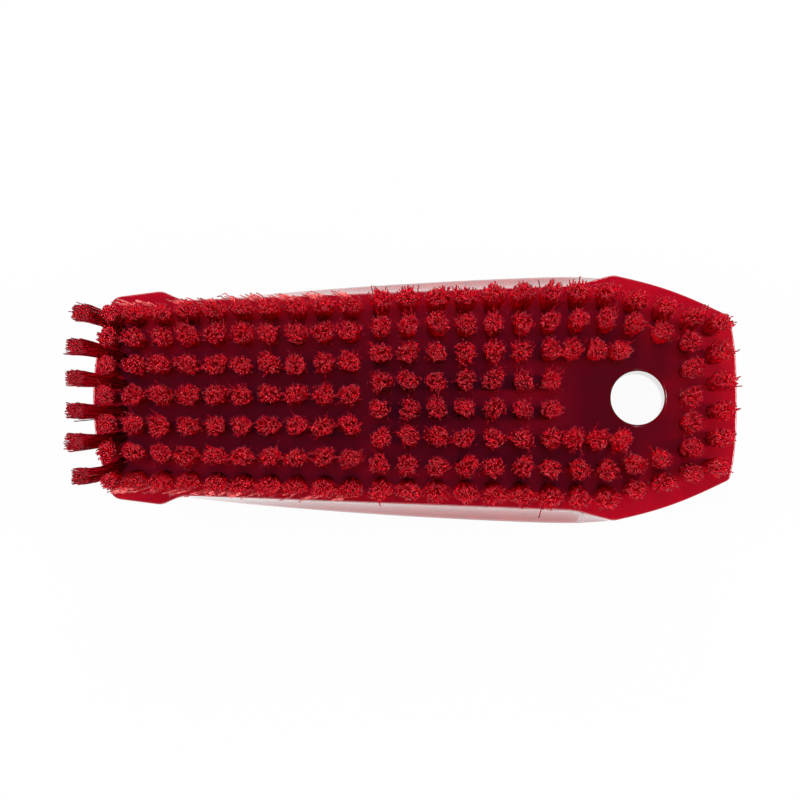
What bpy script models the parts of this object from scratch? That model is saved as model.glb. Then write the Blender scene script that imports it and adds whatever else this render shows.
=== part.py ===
"""Hand scrub brush, lying on its back with the bristles up.

One moulded block with a domed grip back, a winged bristle face and a hanging hole, and the tuft
rows that are set into channels of its face. +X points to the heel with the hanging hole, -X to the
nose with its forward tufts, and z = 0 is the flat crown that the brush rests on. All in metres.
"""

import math

import bmesh
import bpy
import numpy as np
from mathutils import Matrix, Vector

# Overall sizes
BLOCK_LENGTH = 0.158
NOSE_TUFT_REACH = 0.006
BLOCK_DEPTH = 0.026
BRISTLE_LENGTH = 0.026

# Widths of the bristle face
NOSE_EDGE_WIDTH = 0.045
NOSE_WING_WIDTH = 0.0525
WAIST_FRONT_WIDTH = 0.048
WAIST_REAR_WIDTH = 0.0553
HEEL_WING_WIDTH = 0.0604
HEEL_EDGE_WIDTH = 0.0402

# Where the corners of the face lie along the block, from nose to heel
NOSE_FLANK_share = 0.034
NOSE_WING_share = 0.107
WAIST_FRONT_share = 0.139
WAIST_REAR_share = 0.747
HEEL_WING_share = 0.808

# Rise of the two end arcs, the bulge of the heel sides, and the corner fillets of the face
NOSE_ARC_RISE = 0.004
HEEL_ARC_RISE = 0.0018
HEEL_ARC_POWER = 3
HEEL_SIDE_BULGE = 0.0012
NOSE_CORNER_RADIUS = 0.0018
WING_RADIUS = 0.001
WAIST_RADIUS = 0.002
HEEL_CORNER_RADIUS = 0.0008
FACE_EDGE_RADIUS = 0.0008
EDGE_STEPS = 3
CORNER_STEPS = 4
ARC_STEPS = 5
SIDE_STEPS = 9

# The grip: the rim under the face, the widest line of the back, and the crown it rests on
RIM_DEPTH = 0.0045
GRIP_DEPTH = 0.0155
FLARE_STEPS = 4
DOME_STEPS = 9
CROWN_LENGTH = 0.048
CROWN_WIDTH = 0.024
CROWN_CENTRE_share = 0.5
SIDE_DOME_POWER = 2.3
END_DOME_POWER = 1.45
FLARE_POWER = 1.6
BACK_INSET = 0.0012
BACK_CORNER_SPREAD = 0.016
SPREAD_SAMPLES = 17

# Half widths of the widest line of the back: share of the block's length, share of the wing width
BACK_WIDTH_shares = (
    (0.000, 0.363),
    (0.055, 0.381),
    (0.139, 0.400),
    (0.223, 0.425),
    (0.329, 0.448),
    (0.418, 0.466),
    (0.500, 0.479),
    (0.576, 0.490),
    (0.665, 0.500),
    (0.735, 0.506),
    (0.815, 0.499),
    (0.880, 0.452),
    (0.945, 0.383),
    (1.000, 0.316),
)

# Hanging hole
HANGING_HOLE_DIAMETER = 0.0132
HANGING_HOLE_FROM_HEEL = 0.0243
HOLE_RIM = 0.0008
HOLE_SIDES = 28

# Tufts: each is three strands, the forward tufts of the nose two
STRANDS_PER_TUFT = 3
STRAND_SIDES = 4
STRAND_ROOT_RADIUS = 0.0007
STRAND_TIP_RADIUS = 0.0009
TUFT_ROOT_RING = 0.00095
TUFT_TIP_RING = 0.00175
NOSE_ROOT_RING = 0.00062
STRAND_SINK = 0.001

# The tuft field: columns from nose to heel, rows as shares of the half width of the field.
# A stretch is divided evenly, into as many steps as come nearest to its pitch.
COLUMN_PITCH = 0.0066
CLOSE_PITCH = 0.0056
SECTION_GAP = 0.0072
SECTION_END_share = 0.4005
NOSE_ARC_TO_TIPS = 0.00415
FIELD_END_FROM_HEEL = 0.0323
ROW_STOP_BEFORE_HOLE = 0.0145
ROW_END_BEFORE_HOLE = 0.0050
FRONT_ROW_shares = (1 / 3, 2 / 3)
REAR_ROW_shares = (1 / 7, 3 / 7, 5 / 7)
ROOT_FIELD_share = 0.82
NOSE_TIP_FIELD_share = 0.900
HEEL_TIP_FIELD_share = 0.930
EVEN_ROOT_share = 0.116
FAN_ALONG_share = 0.990

# First column and the forward tufts of the nose
FIRST_COLUMN_SETBACK = 0.0048
FIRST_COLUMN_BOW = 0.0016
FIRST_TIP_BOW = 0.0009
NOSE_ROOT_SETBACK = 0.0072
NOSE_TUFT_HEIGHT = 0.0242
NOSE_TUFT_PAIRS = 3
NOSE_TIP_FAN_shares = (1.22, 1.20, 1.235)
NOSE_OUTER_TIP_BACK = 0.0016

# Two loops of tufts round the hanging hole
OUTER_LOOP_INSET = 0.0072
INNER_LOOP_INSET = 0.0126
LOOP_LEAN = 0.0015
INNER_LOOP_LEAN = 0.0006
INNER_HEEL_SETBACK = 0.0124
INNER_HEEL_INSET = 0.0122
OUTER_HEEL_SETBACK = 0.0058
OUTER_HEEL_INSET = 0.0053
HEEL_LEAN = 0.0017
INNER_HEEL_FAN_share = 1.02
OUTER_HEEL_FAN_share = 1.05

# Slices of backing that carry the tufts, let into channels of the face
STRIP_WIDTH = 0.0040
STRIP_END = 0.00175
STRIP_DEPTH = 0.0020
SEAT_CLEARANCE = 0.0003
NOSE_SLICE_WALL = 0.0016
NOSE_SLICE_REACH = 0.00145
CUT_OVERRUN = 0.002
WELD_DISTANCE = 0.000003
MITRE_LIMIT_share = 0.5

# Edges flatter than the first angle are merged, edges sharper than the second are shaded sharp
FLAT_ANGLE = math.radians(0.5)
SHARP_ANGLE = math.radians(35)

# Places that follow from the sizes
OVERALL_LENGTH = BLOCK_LENGTH + NOSE_TUFT_REACH
HEEL_X = OVERALL_LENGTH / 2
NOSE_X = HEEL_X - BLOCK_LENGTH
HOLE_X = HEEL_X - HANGING_HOLE_FROM_HEEL
TIP_Z = BLOCK_DEPTH + BRISTLE_LENGTH
WAIST_FRONT_X = NOSE_X + WAIST_FRONT_share * BLOCK_LENGTH
WAIST_REAR_X = NOSE_X + WAIST_REAR_share * BLOCK_LENGTH
HEEL_WING_X = NOSE_X + HEEL_WING_share * BLOCK_LENGTH
HEEL_CORNER_X = HEEL_X - HEEL_ARC_RISE
STRIP_HALF_WIDTH = STRIP_WIDTH / 2


def clear_scene():
    """Start from an empty scene."""
    for obj in list(bpy.data.objects):
        bpy.data.objects.remove(obj, do_unlink=True)


def new_collection(name, hidden=False):
    """A collection linked to the scene; cutters go in one that is not rendered."""
    collection = bpy.data.collections.new(name)
    collection.hide_render = hidden
    bpy.context.scene.collection.children.link(collection)
    return collection


def plastic(name, colour, roughness):
    """A Principled plastic."""
    material = bpy.data.materials.new(name)
    material.use_nodes = True
    shader = material.node_tree.nodes["Principled BSDF"]
    shader.inputs["Base Color"].default_value = (*colour, 1.0)
    shader.inputs["Roughness"].default_value = roughness
    shader.inputs["Metallic"].default_value = 0.0
    return material


def object_from_bmesh(bm, name, collection):
    """A new object from a bmesh, its faces pointing out."""
    bmesh.ops.recalc_face_normals(bm, faces=bm.faces)
    mesh = bpy.data.meshes.new(name)
    bm.to_mesh(mesh)
    bm.free()
    obj = bpy.data.objects.new(name, mesh)
    collection.objects.link(obj)
    return obj


def hide_cutter(cutter):
    """A cutter shows as a wire and is never rendered."""
    cutter.hide_render = True
    cutter.display_type = "WIRE"


def cut(target, cutter):
    """Take the cutter out of the target."""
    modifier = target.modifiers.new("Cut " + cutter.name, "BOOLEAN")
    modifier.operation = "DIFFERENCE"
    modifier.solver = "EXACT"
    modifier.object = cutter
    hide_cutter(cutter)


# Outlines


def between(low, high, share):
    """The value a share of the way from one to another."""
    return low + (high - low) * share


def line_at(x, x_low, value_low, x_high, value_high):
    """The height at x of the straight line through two points."""
    return between(value_low, value_high, (x - x_low) / (x_high - x_low))


def waist_half_width(x):
    """Half the width of the face between its wings, as a straight line along the whole block."""
    return line_at(x, WAIST_FRONT_X, WAIST_FRONT_WIDTH / 2, WAIST_REAR_X, WAIST_REAR_WIDTH / 2)


def heel_half_width(x):
    """Half the width of the face behind the heel wings, whose sides bulge a little."""
    share = (x - HEEL_WING_X) / (HEEL_CORNER_X - HEEL_WING_X)
    straight = between(HEEL_WING_WIDTH / 2, HEEL_EDGE_WIDTH / 2, share)
    return straight + HEEL_SIDE_BULGE * math.sin(math.pi * min(max(share, 0), 1))


def nose_edge_x(y):
    """The nose edge of the face, an arc that bows forward."""
    return NOSE_X + NOSE_ARC_RISE * (2 * y / NOSE_EDGE_WIDTH) ** 2


def heel_edge_x(y):
    """The heel edge of the face, an arc that bows back."""
    return HEEL_X - HEEL_ARC_RISE * abs(2 * y / HEEL_EDGE_WIDTH) ** HEEL_ARC_POWER


def fillet(before, corner, after, radius):
    """Points of a round that replaces a corner, as a quadratic curve between its two tangent points."""
    reach_in = min(radius, (before - corner).length / 2)
    reach_out = min(radius, (after - corner).length / 2)
    start = corner + (before - corner).normalized() * reach_in
    end = corner + (after - corner).normalized() * reach_out
    points = []
    for step in range(CORNER_STEPS + 1):
        share = step / CORNER_STEPS
        points.append(start.lerp(corner, share).lerp(corner.lerp(end, share), share))
    return points


def half_face_outline():
    """Points of the face outline on the +Y side, from the middle of the nose to the middle of the heel."""
    flank_x = NOSE_X + NOSE_FLANK_share * BLOCK_LENGTH
    wing_x = NOSE_X + NOSE_WING_share * BLOCK_LENGTH
    nose_corner = Vector((nose_edge_x(NOSE_EDGE_WIDTH / 2), NOSE_EDGE_WIDTH / 2))
    flank = Vector((flank_x, between(NOSE_EDGE_WIDTH, NOSE_WING_WIDTH, 3 / 5) / 2))
    wing = Vector((wing_x, NOSE_WING_WIDTH / 2))
    waist_front = Vector((WAIST_FRONT_X, WAIST_FRONT_WIDTH / 2))
    waist_rear = Vector((WAIST_REAR_X, WAIST_REAR_WIDTH / 2))
    heel_wing = Vector((HEEL_WING_X, HEEL_WING_WIDTH / 2))
    heel_corner = Vector((HEEL_CORNER_X, HEEL_EDGE_WIDTH / 2))
    side_share = 1 / SIDE_STEPS
    heel_side_x = between(HEEL_WING_X, HEEL_CORNER_X, side_share)
    heel_side = Vector((heel_side_x, heel_half_width(heel_side_x)))
    points = []
    for step in range(ARC_STEPS):
        y = NOSE_EDGE_WIDTH / 2 * step / ARC_STEPS
        points.append(Vector((nose_edge_x(y), y)))
    points += fillet(points[-1], nose_corner, flank, NOSE_CORNER_RADIUS)
    points += fillet(nose_corner, flank, wing, NOSE_CORNER_RADIUS)[1:]
    points += fillet(flank, wing, waist_front, WING_RADIUS)
    points += fillet(wing, waist_front, waist_rear, WAIST_RADIUS)
    for step in range(1, SIDE_STEPS):
        points.append(waist_front.lerp(waist_rear, step / SIDE_STEPS))
    points += fillet(waist_front, waist_rear, heel_wing, WAIST_RADIUS)
    points += fillet(waist_rear, heel_wing, heel_side, WING_RADIUS)
    for step in range(2, SIDE_STEPS):
        x = between(HEEL_WING_X, HEEL_CORNER_X, step / SIDE_STEPS)
        points.append(Vector((x, heel_half_width(x))))
    heel_arc_y = HEEL_EDGE_WIDTH / 2 * (ARC_STEPS - 1) / ARC_STEPS
    heel_arc_end = Vector((heel_edge_x(heel_arc_y), heel_arc_y))
    points += fillet(points[-1], heel_corner, heel_arc_end, HEEL_CORNER_RADIUS)
    for step in range(ARC_STEPS):
        y = HEEL_EDGE_WIDTH / 2 * (1 - (step + 1) / ARC_STEPS)
        points.append(Vector((heel_edge_x(y), y)))
    return points


def smooth_through(stations, value):
    """A smooth curve through hand-chosen stations, read at one value (cubic pieces with shared slopes)."""
    places = [station[0] for station in stations]
    heights = [station[1] for station in stations]
    slopes = np.gradient(np.array(heights), np.array(places))
    value = min(max(value, places[0]), places[-1])
    index = min(int(np.searchsorted(places, value, side="right")) - 1, len(places) - 2)
    index = max(index, 0)
    span = places[index + 1] - places[index]
    share = (value - places[index]) / span
    rise = (1 - share) ** 2 * (1 + 2 * share) * heights[index]
    rise += share**2 * (3 - 2 * share) * heights[index + 1]
    rise += span * share * (1 - share) ** 2 * slopes[index]
    rise -= span * share**2 * (1 - share) * slopes[index + 1]
    return rise


def back_half_width(x):
    """Half the width of the back at its widest line."""
    return HEEL_WING_WIDTH * smooth_through(BACK_WIDTH_shares, (x - NOSE_X) / BLOCK_LENGTH)


def widest_point(point):
    """The point of the back's widest line that lies under a point of the face outline."""
    middle = (NOSE_X + HEEL_X) / 2
    x = middle + (point.x - middle) * (1 - 2 * BACK_INSET / BLOCK_LENGTH)
    if point.x < nose_edge_x(NOSE_EDGE_WIDTH / 2):
        share = 2 * point.y / NOSE_EDGE_WIDTH
        return Vector((x, share * back_half_width(nose_edge_x(NOSE_EDGE_WIDTH / 2))))
    if point.x > HEEL_CORNER_X:
        share = 2 * point.y / HEEL_EDGE_WIDTH
        return Vector((x, share * back_half_width(HEEL_CORNER_X)))
    return Vector((x, back_half_width(point.x)))


def rounded_outline(points):
    """The half outline with its corners spread: each point is the mean of a stretch of the whole ring."""
    ring = points + [Vector((point.x, -point.y)) for point in points[-2:0:-1]]
    steps = [(after - point).length for point, after in zip(ring, ring[1:] + ring[:1])]
    places = np.concatenate([[0], np.cumsum(steps)])
    xs = [point.x for point in ring + ring[:1]]
    ys = [point.y for point in ring + ring[:1]]
    window = np.linspace(-BACK_CORNER_SPREAD / 2, BACK_CORNER_SPREAD / 2, SPREAD_SAMPLES)
    rounded = []
    for index in range(len(points)):
        stretch = (places[index] + window) % places[-1]
        x = np.interp(stretch, places, xs).mean()
        y = np.interp(stretch, places, ys).mean()
        rounded.append(Vector((x, y)))
    return rounded


def crown_point(point):
    """The point of the flat crown that a point of the widest line runs down to, on an ellipse."""
    middle = between(NOSE_X, HEEL_X, CROWN_CENTRE_share)
    across = point.y / (HEEL_WING_WIDTH / 2)
    along = (point.x - middle) / (BLOCK_LENGTH / 2)
    angle = math.atan2(across, along)
    return Vector((middle + CROWN_LENGTH / 2 * math.cos(angle), CROWN_WIDTH / 2 * math.sin(angle)))


def dome_power(point):
    """How square the dome is: fuller at the sides, flatter towards nose and heel."""
    middle = between(NOSE_X, HEEL_X, CROWN_CENTRE_share)
    across = point.y / (HEEL_WING_WIDTH / 2)
    along = (point.x - middle) / (BLOCK_LENGTH / 2)
    side_share = across**2 / (across**2 + along**2)
    return between(END_DOME_POWER, SIDE_DOME_POWER, side_share)


def dome_height(share, power):
    """Height above the crown as a share of the widest line's height, a share of the way in."""
    return 1 - (1 - (1 - share) ** power) ** (1 / power)


def inset_outline(points, inset):
    """The half outline moved inwards, for the rounded edge of the face."""
    moved = []
    for index, point in enumerate(points):
        before = points[index - 1] if index else Vector((point.x, -points[1].y))
        last = index == len(points) - 1
        after = Vector((point.x, -points[-2].y)) if last else points[index + 1]
        along = (after - before).normalized()
        moved.append(point + Vector((along.y, -along.x)) * inset)
    return moved


def mirrored_ring(points, heights):
    """A closed ring of (x, y, z) from the half outline and its mirror image."""
    ring = [Vector((point.x, point.y, z)) for point, z in zip(points, heights)]
    ring[0].y = 0
    ring[-1].y = 0
    return ring + [Vector((point.x, -point.y, point.z)) for point in ring[-2:0:-1]]


# The block


def block_rings():
    """Rings from the face down to the crown: rounded edge, rim, flare to the widest line, dome."""
    face = half_face_outline()
    widest = rounded_outline([widest_point(point) for point in face])
    crown = [crown_point(point) for point in widest]
    rings = []
    for step in range(EDGE_STEPS):
        angle = math.pi / 2 * step / EDGE_STEPS
        inset = FACE_EDGE_RADIUS * (1 - math.sin(angle))
        height = BLOCK_DEPTH - FACE_EDGE_RADIUS * (1 - math.cos(angle))
        rings.append(mirrored_ring(inset_outline(face, inset), [height] * len(face)))
    rim_height = BLOCK_DEPTH - RIM_DEPTH
    rings.append(mirrored_ring(face, [BLOCK_DEPTH - FACE_EDGE_RADIUS] * len(face)))
    rings.append(mirrored_ring(face, [rim_height] * len(face)))
    grip_height = BLOCK_DEPTH - GRIP_DEPTH
    for step in range(1, FLARE_STEPS + 1):
        share = step / FLARE_STEPS
        points = [a.lerp(b, share**FLARE_POWER) for a, b in zip(face, widest)]
        rings.append(mirrored_ring(points, [between(rim_height, grip_height, share)] * len(face)))
    for step in range(1, DOME_STEPS + 1):
        share = math.sin(math.pi / 2 * step / DOME_STEPS) ** 2
        points = [a.lerp(b, share) for a, b in zip(widest, crown)]
        heights = [grip_height * dome_height(share, dome_power(point)) for point in widest]
        rings.append(mirrored_ring(points, heights))
    return rings


def loft(bm, rings):
    """Closed solid through rings of equal count, with a flat cap at each end."""
    loops = [[bm.verts.new(point) for point in ring] for ring in rings]
    for upper, lower in zip(loops, loops[1:]):
        for index in range(len(upper)):
            after = (index + 1) % len(upper)
            bm.faces.new((upper[index], upper[after], lower[after], lower[index]))
    bm.faces.new(loops[0])
    bm.faces.new(list(reversed(loops[-1])))


def back_height(x):
    """Height of the back on the centre line, behind the crown."""
    heel_edge = widest_point(Vector((HEEL_X, 0))).x
    crown_end = between(NOSE_X, HEEL_X, CROWN_CENTRE_share) + CROWN_LENGTH / 2
    share = (heel_edge - x) / (heel_edge - crown_end)
    return (BLOCK_DEPTH - GRIP_DEPTH) * dome_height(share, END_DOME_POWER)


def hole_cutters(collection):
    """The hanging hole: a straight bore and a chamfered rim on the face and on the sloping back."""
    radius = HANGING_HOLE_DIAMETER / 2
    bore = bmesh.new()
    depth = BLOCK_DEPTH + 2 * CUT_OVERRUN
    place = Matrix.Translation((HOLE_X, 0, BLOCK_DEPTH / 2))
    bmesh.ops.create_cone(bore, cap_ends=True, segments=HOLE_SIDES, radius1=radius,
                          radius2=radius, depth=depth, matrix=place)
    cutters = [object_from_bmesh(bore, "hanging_hole_bore", collection)]
    slope = math.atan2(back_height(HOLE_X + radius) - back_height(HOLE_X - radius), 2 * radius)
    seats = (("face", BLOCK_DEPTH, 0), ("back", back_height(HOLE_X), math.pi - slope))
    for side, height, turn in seats:
        rim = bmesh.new()
        place = Matrix.Translation((HOLE_X, 0, height)) @ Matrix.Rotation(turn, 4, "Y")
        place @= Matrix.Rotation(math.pi / HOLE_SIDES, 4, "Z")
        bmesh.ops.create_cone(rim, cap_ends=True, segments=HOLE_SIDES, radius1=radius - HOLE_RIM,
                              radius2=radius + 3 * HOLE_RIM, depth=4 * HOLE_RIM,
                              matrix=place)
        cutters.append(object_from_bmesh(rim, "hanging_hole_rim_" + side, collection))
    return cutters


def make_block(parts, cutters, channels, material):
    """The moulded block, with its channels and its hanging hole."""
    bm = bmesh.new()
    loft(bm, block_rings())
    block = object_from_bmesh(bm, "block", parts)
    for cutter in hole_cutters(cutters) + channels:
        cut(block, cutter)
    block.data.materials.append(material)
    block.data.shade_smooth()
    block.data.set_sharp_from_angle(angle=SHARP_ANGLE)
    return block


# Tufts


def root_half_field(x):
    """Half the width of the tuft field at the face."""
    return ROOT_FIELD_share * waist_half_width(x)


def row_root_y(x, share):
    """How far out a row's root stands: the rows lean out more and more towards the edge."""
    return share * root_half_field(x) * (1 + EVEN_ROOT_share * (1 - share**2))


def tip_half_field(x):
    """Half the width of the tuft field at the bristle tips, which spread more towards the heel."""
    along = (x - NOSE_X) / BLOCK_LENGTH
    return between(NOSE_TIP_FIELD_share, HEEL_TIP_FIELD_share, along) * waist_half_width(x)


def first_tip_x():
    """Where the tips of the first column stand on the centre line."""
    return NOSE_X + NOSE_ARC_TO_TIPS


def evenly(start, end, pitch):
    """Places from start to end, a whole number of steps apart, each step as near to the pitch as can be."""
    steps = max(round((end - start) / pitch), 1)
    return [between(start, end, step / steps) for step in range(steps + 1)]


def section_end_x():
    """Where the tips of the last front column stand."""
    return NOSE_X + SECTION_END_share * BLOCK_LENGTH


def front_tip_xs():
    """Tips of the front columns after the first."""
    return evenly(first_tip_x(), section_end_x(), COLUMN_PITCH)[1:]


def rear_tip_xs():
    """Tips of the rear columns, up to where the heel narrows."""
    return evenly(section_end_x() + SECTION_GAP, HEEL_X - FIELD_END_FROM_HEEL, COLUMN_PITCH)


def short_tip_xs():
    """Tips of the rear columns that stop before the hanging hole."""
    stop = HOLE_X - HANGING_HOLE_DIAMETER / 2 - ROW_STOP_BEFORE_HOLE
    return [x for x in rear_tip_xs() if x < stop]


def close_tip_xs():
    """Tips of the closer columns of the two rows that pass the hole."""
    return evenly(short_tip_xs()[-1], HOLE_X - ROW_END_BEFORE_HOLE, CLOSE_PITCH)[1:]


def loop_root_xs():
    """Roots beside the hanging hole, from the last rear column to the column behind the hole."""
    start = rear_tip_xs()[-1] * FAN_ALONG_share
    return evenly(start, HEEL_X - INNER_HEEL_SETBACK, COLUMN_PITCH)[1:]


def field_tuft(tip_x, share):
    """Root and tip of a tuft in a row that stands at a share of the field's half width."""
    root_x = tip_x * FAN_ALONG_share
    root = Vector((root_x, row_root_y(root_x, share), BLOCK_DEPTH))
    return root, Vector((tip_x, share * tip_half_field(tip_x), TIP_Z))


def first_column_tuft(share):
    """Root and tip of a tuft of the first column, which bows with the nose edge."""
    root_x = NOSE_X + FIRST_COLUMN_SETBACK + FIRST_COLUMN_BOW * share**2
    tip_x = first_tip_x() + FIRST_TIP_BOW * share**2
    root = Vector((root_x, share * root_half_field(root_x), BLOCK_DEPTH))
    return root, Vector((tip_x, share * tip_half_field(tip_x), TIP_Z))


def forward_tuft(pair):
    """Root and tip of a forward tuft of the nose, between two rows; the outer pair reaches less far."""
    share = (pair + 1 / 2) / NOSE_TUFT_PAIRS
    root_x = NOSE_X + NOSE_ROOT_SETBACK
    root_y = share * root_half_field(root_x)
    reach = TUFT_TIP_RING + STRAND_TIP_RADIUS * math.cos(math.pi / STRAND_SIDES)
    tip_x = reach - OVERALL_LENGTH / 2
    if pair == NOSE_TUFT_PAIRS - 1:
        tip_x += NOSE_OUTER_TIP_BACK
    root = Vector((root_x, root_y, BLOCK_DEPTH))
    return root, Vector((tip_x, root_y * NOSE_TIP_FAN_shares[pair], BLOCK_DEPTH + NOSE_TUFT_HEIGHT))


def loop_tuft(root_x, inset, lean):
    """Root and tip of a tuft of a loop beside the hanging hole, at a fixed inset from the heel side."""
    root = Vector((root_x, heel_half_width(root_x) - inset, BLOCK_DEPTH))
    return root, Vector((root_x + lean / 2, root.y + lean, TIP_Z))


def heel_tuft(y, setback, lean, fan_share):
    """Root and tip of a tuft behind the hanging hole, in a column that bows with the heel edge."""
    root = Vector((heel_edge_x(y) - setback, y, BLOCK_DEPTH))
    return root, Vector((root.x + lean, y * fan_share, TIP_Z))


def mirrored(tuft, side):
    """The same root and tip on one side of the centre plane or the other."""
    return [Vector((point.x, side * point.y, point.z)) for point in tuft]


def add_strand(bm, root, tip, root_radius, tip_radius):
    """One four-sided strand: a leaning frustum whose ends are both level."""
    depth = tip.z - root.z
    lean_x = (tip.x - root.x) / depth
    lean_y = (tip.y - root.y) / depth
    middle = (root + tip) / 2
    lean = Matrix(((1, 0, lean_x, middle.x), (0, 1, lean_y, middle.y), (0, 0, 1, middle.z), (0, 0, 0, 1)))
    turn = Matrix.Rotation(math.pi / STRAND_SIDES, 4, "Z")
    bmesh.ops.create_cone(bm, cap_ends=True, cap_tris=False, segments=STRAND_SIDES,
                          radius1=root_radius, radius2=tip_radius, depth=depth,
                          matrix=lean @ turn)


def add_tuft(bm, tuft, first_angle, strands, root_ring):
    """The strands of a tuft, set on a ring that opens towards the tips."""
    root, tip = tuft
    sunk = root + (root - tip) * (STRAND_SINK / (tip.z - root.z))
    for strand in range(strands):
        angle = first_angle + 2 * math.pi * strand / strands
        outward = Vector((math.cos(angle), math.sin(angle), 0))
        add_strand(bm, sunk + outward * root_ring, tip + outward * TUFT_TIP_RING,
                   STRAND_ROOT_RADIUS, STRAND_TIP_RADIUS)


def tuft_strands(name, tufts, collection):
    """All strands of a row; neighbouring tufts face opposite ways, so that they interleave."""
    bm = bmesh.new()
    for number, tuft in enumerate(tufts):
        add_tuft(bm, tuft, math.pi * (number % 2), STRANDS_PER_TUFT, TUFT_ROOT_RING)
    return object_from_bmesh(bm, name + "_strands", collection)


# Slices of backing


def band_outline(path, grow):
    """Outline of a slice that follows a path of roots, grown by a clearance for its channel."""
    points = [Vector((point.x, point.y)) for point in path]
    reach = STRIP_END + grow
    points[0] = points[0] + (points[0] - points[1]).normalized() * reach
    points[-1] = points[-1] + (points[-1] - points[-2]).normalized() * reach
    left = []
    right = []
    for index, point in enumerate(points):
        before = points[max(index - 1, 0)]
        after = points[min(index + 1, len(points) - 1)]
        along_in = (point - before).normalized() if index else (after - point).normalized()
        along_out = (after - point).normalized() if index < len(points) - 1 else along_in
        along = (along_in + along_out).normalized()
        half = (STRIP_HALF_WIDTH + grow) / max(along.dot(along_in), MITRE_LIMIT_share)
        across = Vector((-along.y, along.x)) * half
        left.append(point + across)
        right.append(point - across)
    return left + right[::-1]


def nose_slice_outline(grow):
    """Outline of the slice under the first column and the forward tufts; its front follows the nose edge."""
    half = first_column_tuft(1)[0].y + STRIP_END + grow
    rear = NOSE_X + NOSE_ROOT_SETBACK + NOSE_SLICE_REACH + grow
    outline = []
    for step in range(-ARC_STEPS, ARC_STEPS + 1):
        y = half * step / ARC_STEPS
        outline.append(Vector((nose_edge_x(y) + NOSE_SLICE_WALL + SEAT_CLEARANCE - grow, y)))
    outline.append(Vector((rear, half)))
    outline.append(Vector((rear, -half)))
    return outline


def level_plate(name, outline, low, high, collection):
    """A level plate: a filled 2D curve with an extrusion, made into a welded mesh."""
    curve = bpy.data.curves.new(name, "CURVE")
    curve.dimensions = "2D"
    curve.fill_mode = "BOTH"
    curve.extrude = (high - low) / 2
    spline = curve.splines.new("POLY")
    spline.points.add(len(outline) - 1)
    for target, point in zip(spline.points, outline):
        target.co = (point.x, point.y, 0, 1)
    spline.use_cyclic_u = True
    guide = bpy.data.objects.new(name + "_outline", curve)
    guide.location.z = (low + high) / 2
    collection.objects.link(guide)
    bpy.context.view_layer.update()
    graph = bpy.context.evaluated_depsgraph_get()
    mesh = bpy.data.meshes.new_from_object(guide.evaluated_get(graph))
    bm = bmesh.new()
    bm.from_mesh(mesh)
    bmesh.ops.remove_doubles(bm, verts=bm.verts, dist=WELD_DISTANCE)
    bmesh.ops.dissolve_limit(bm, angle_limit=FLAT_ANGLE, verts=bm.verts, edges=bm.edges)
    bm.transform(guide.matrix_world)
    bpy.data.objects.remove(guide, do_unlink=True)
    bpy.data.meshes.remove(mesh)
    bpy.data.curves.remove(curve)
    return object_from_bmesh(bm, name, collection)


def make_row(name, outlines, strands, parts, cutters, material):
    """A slice of backing with its strands fused to it; returns the cutter of the slice's channel."""
    slice_outline, channel_outline = outlines
    row = level_plate(name, slice_outline, BLOCK_DEPTH - STRIP_DEPTH, BLOCK_DEPTH, parts)
    fuse = row.modifiers.new("Fuse strands", "BOOLEAN")
    fuse.operation = "UNION"
    fuse.solver = "EXACT"
    fuse.object = strands
    hide_cutter(strands)
    row.data.materials.append(material)
    floor = BLOCK_DEPTH - STRIP_DEPTH - SEAT_CLEARANCE
    return level_plate(name + "_channel", channel_outline, floor, BLOCK_DEPTH + CUT_OVERRUN, cutters)


def corners_of(roots):
    """The path through a row of roots, without the points on its straight stretches."""
    path = [roots[0]]
    for before, root, after in zip(roots, roots[1:], roots[2:]):
        if (root - before).angle(after - root) > FLAT_ANGLE:
            path.append(root)
    return path + [roots[-1]]


def row_of(name, tufts, parts, cutters, material):
    """A row of tufts on a slice that follows their roots."""
    path = corners_of([root for root, tip in tufts])
    outlines = (band_outline(path, 0), band_outline(path, SEAT_CLEARANCE))
    strands = tuft_strands(name, tufts, cutters)
    return make_row(name, outlines, strands, parts, cutters, material)


def nose_tufts(parts, cutters, material):
    """The first column and the forward tufts between its rows, on one slice."""
    name = "nose_tufts"
    bm = bmesh.new()
    shares = [0, *FRONT_ROW_shares, 1]
    for number, share in enumerate(shares):
        for side in (1, -1)[: 1 if share == 0 else 2]:
            tuft = mirrored(first_column_tuft(share), side)
            add_tuft(bm, tuft, math.pi * (number % 2), STRANDS_PER_TUFT, TUFT_ROOT_RING)
    for pair in range(NOSE_TUFT_PAIRS):
        for side in (1, -1):
            add_tuft(bm, mirrored(forward_tuft(pair), side), 0, 2, NOSE_ROOT_RING)
    strands = object_from_bmesh(bm, name + "_strands", cutters)
    outlines = (nose_slice_outline(0), nose_slice_outline(SEAT_CLEARANCE))
    return make_row(name, outlines, strands, parts, cutters, material)


def front_rows(parts, cutters, material):
    """Five straight rows and two edge rows behind the nose, fanning out towards the heel."""
    channels = []
    rows = [("front_row_middle", 0, 1)]
    for share, word in zip((*FRONT_ROW_shares, 1), ("inner", "outer", "edge")):
        for side, hand in ((1, "left"), (-1, "right")):
            rows.append((f"front_row_{word}_{hand}", share, side))
    for name, share, side in rows:
        tufts = [mirrored(field_tuft(x, share), side) for x in front_tip_xs()]
        channels.append(row_of(name, tufts, parts, cutters, material))
    return channels


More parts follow.
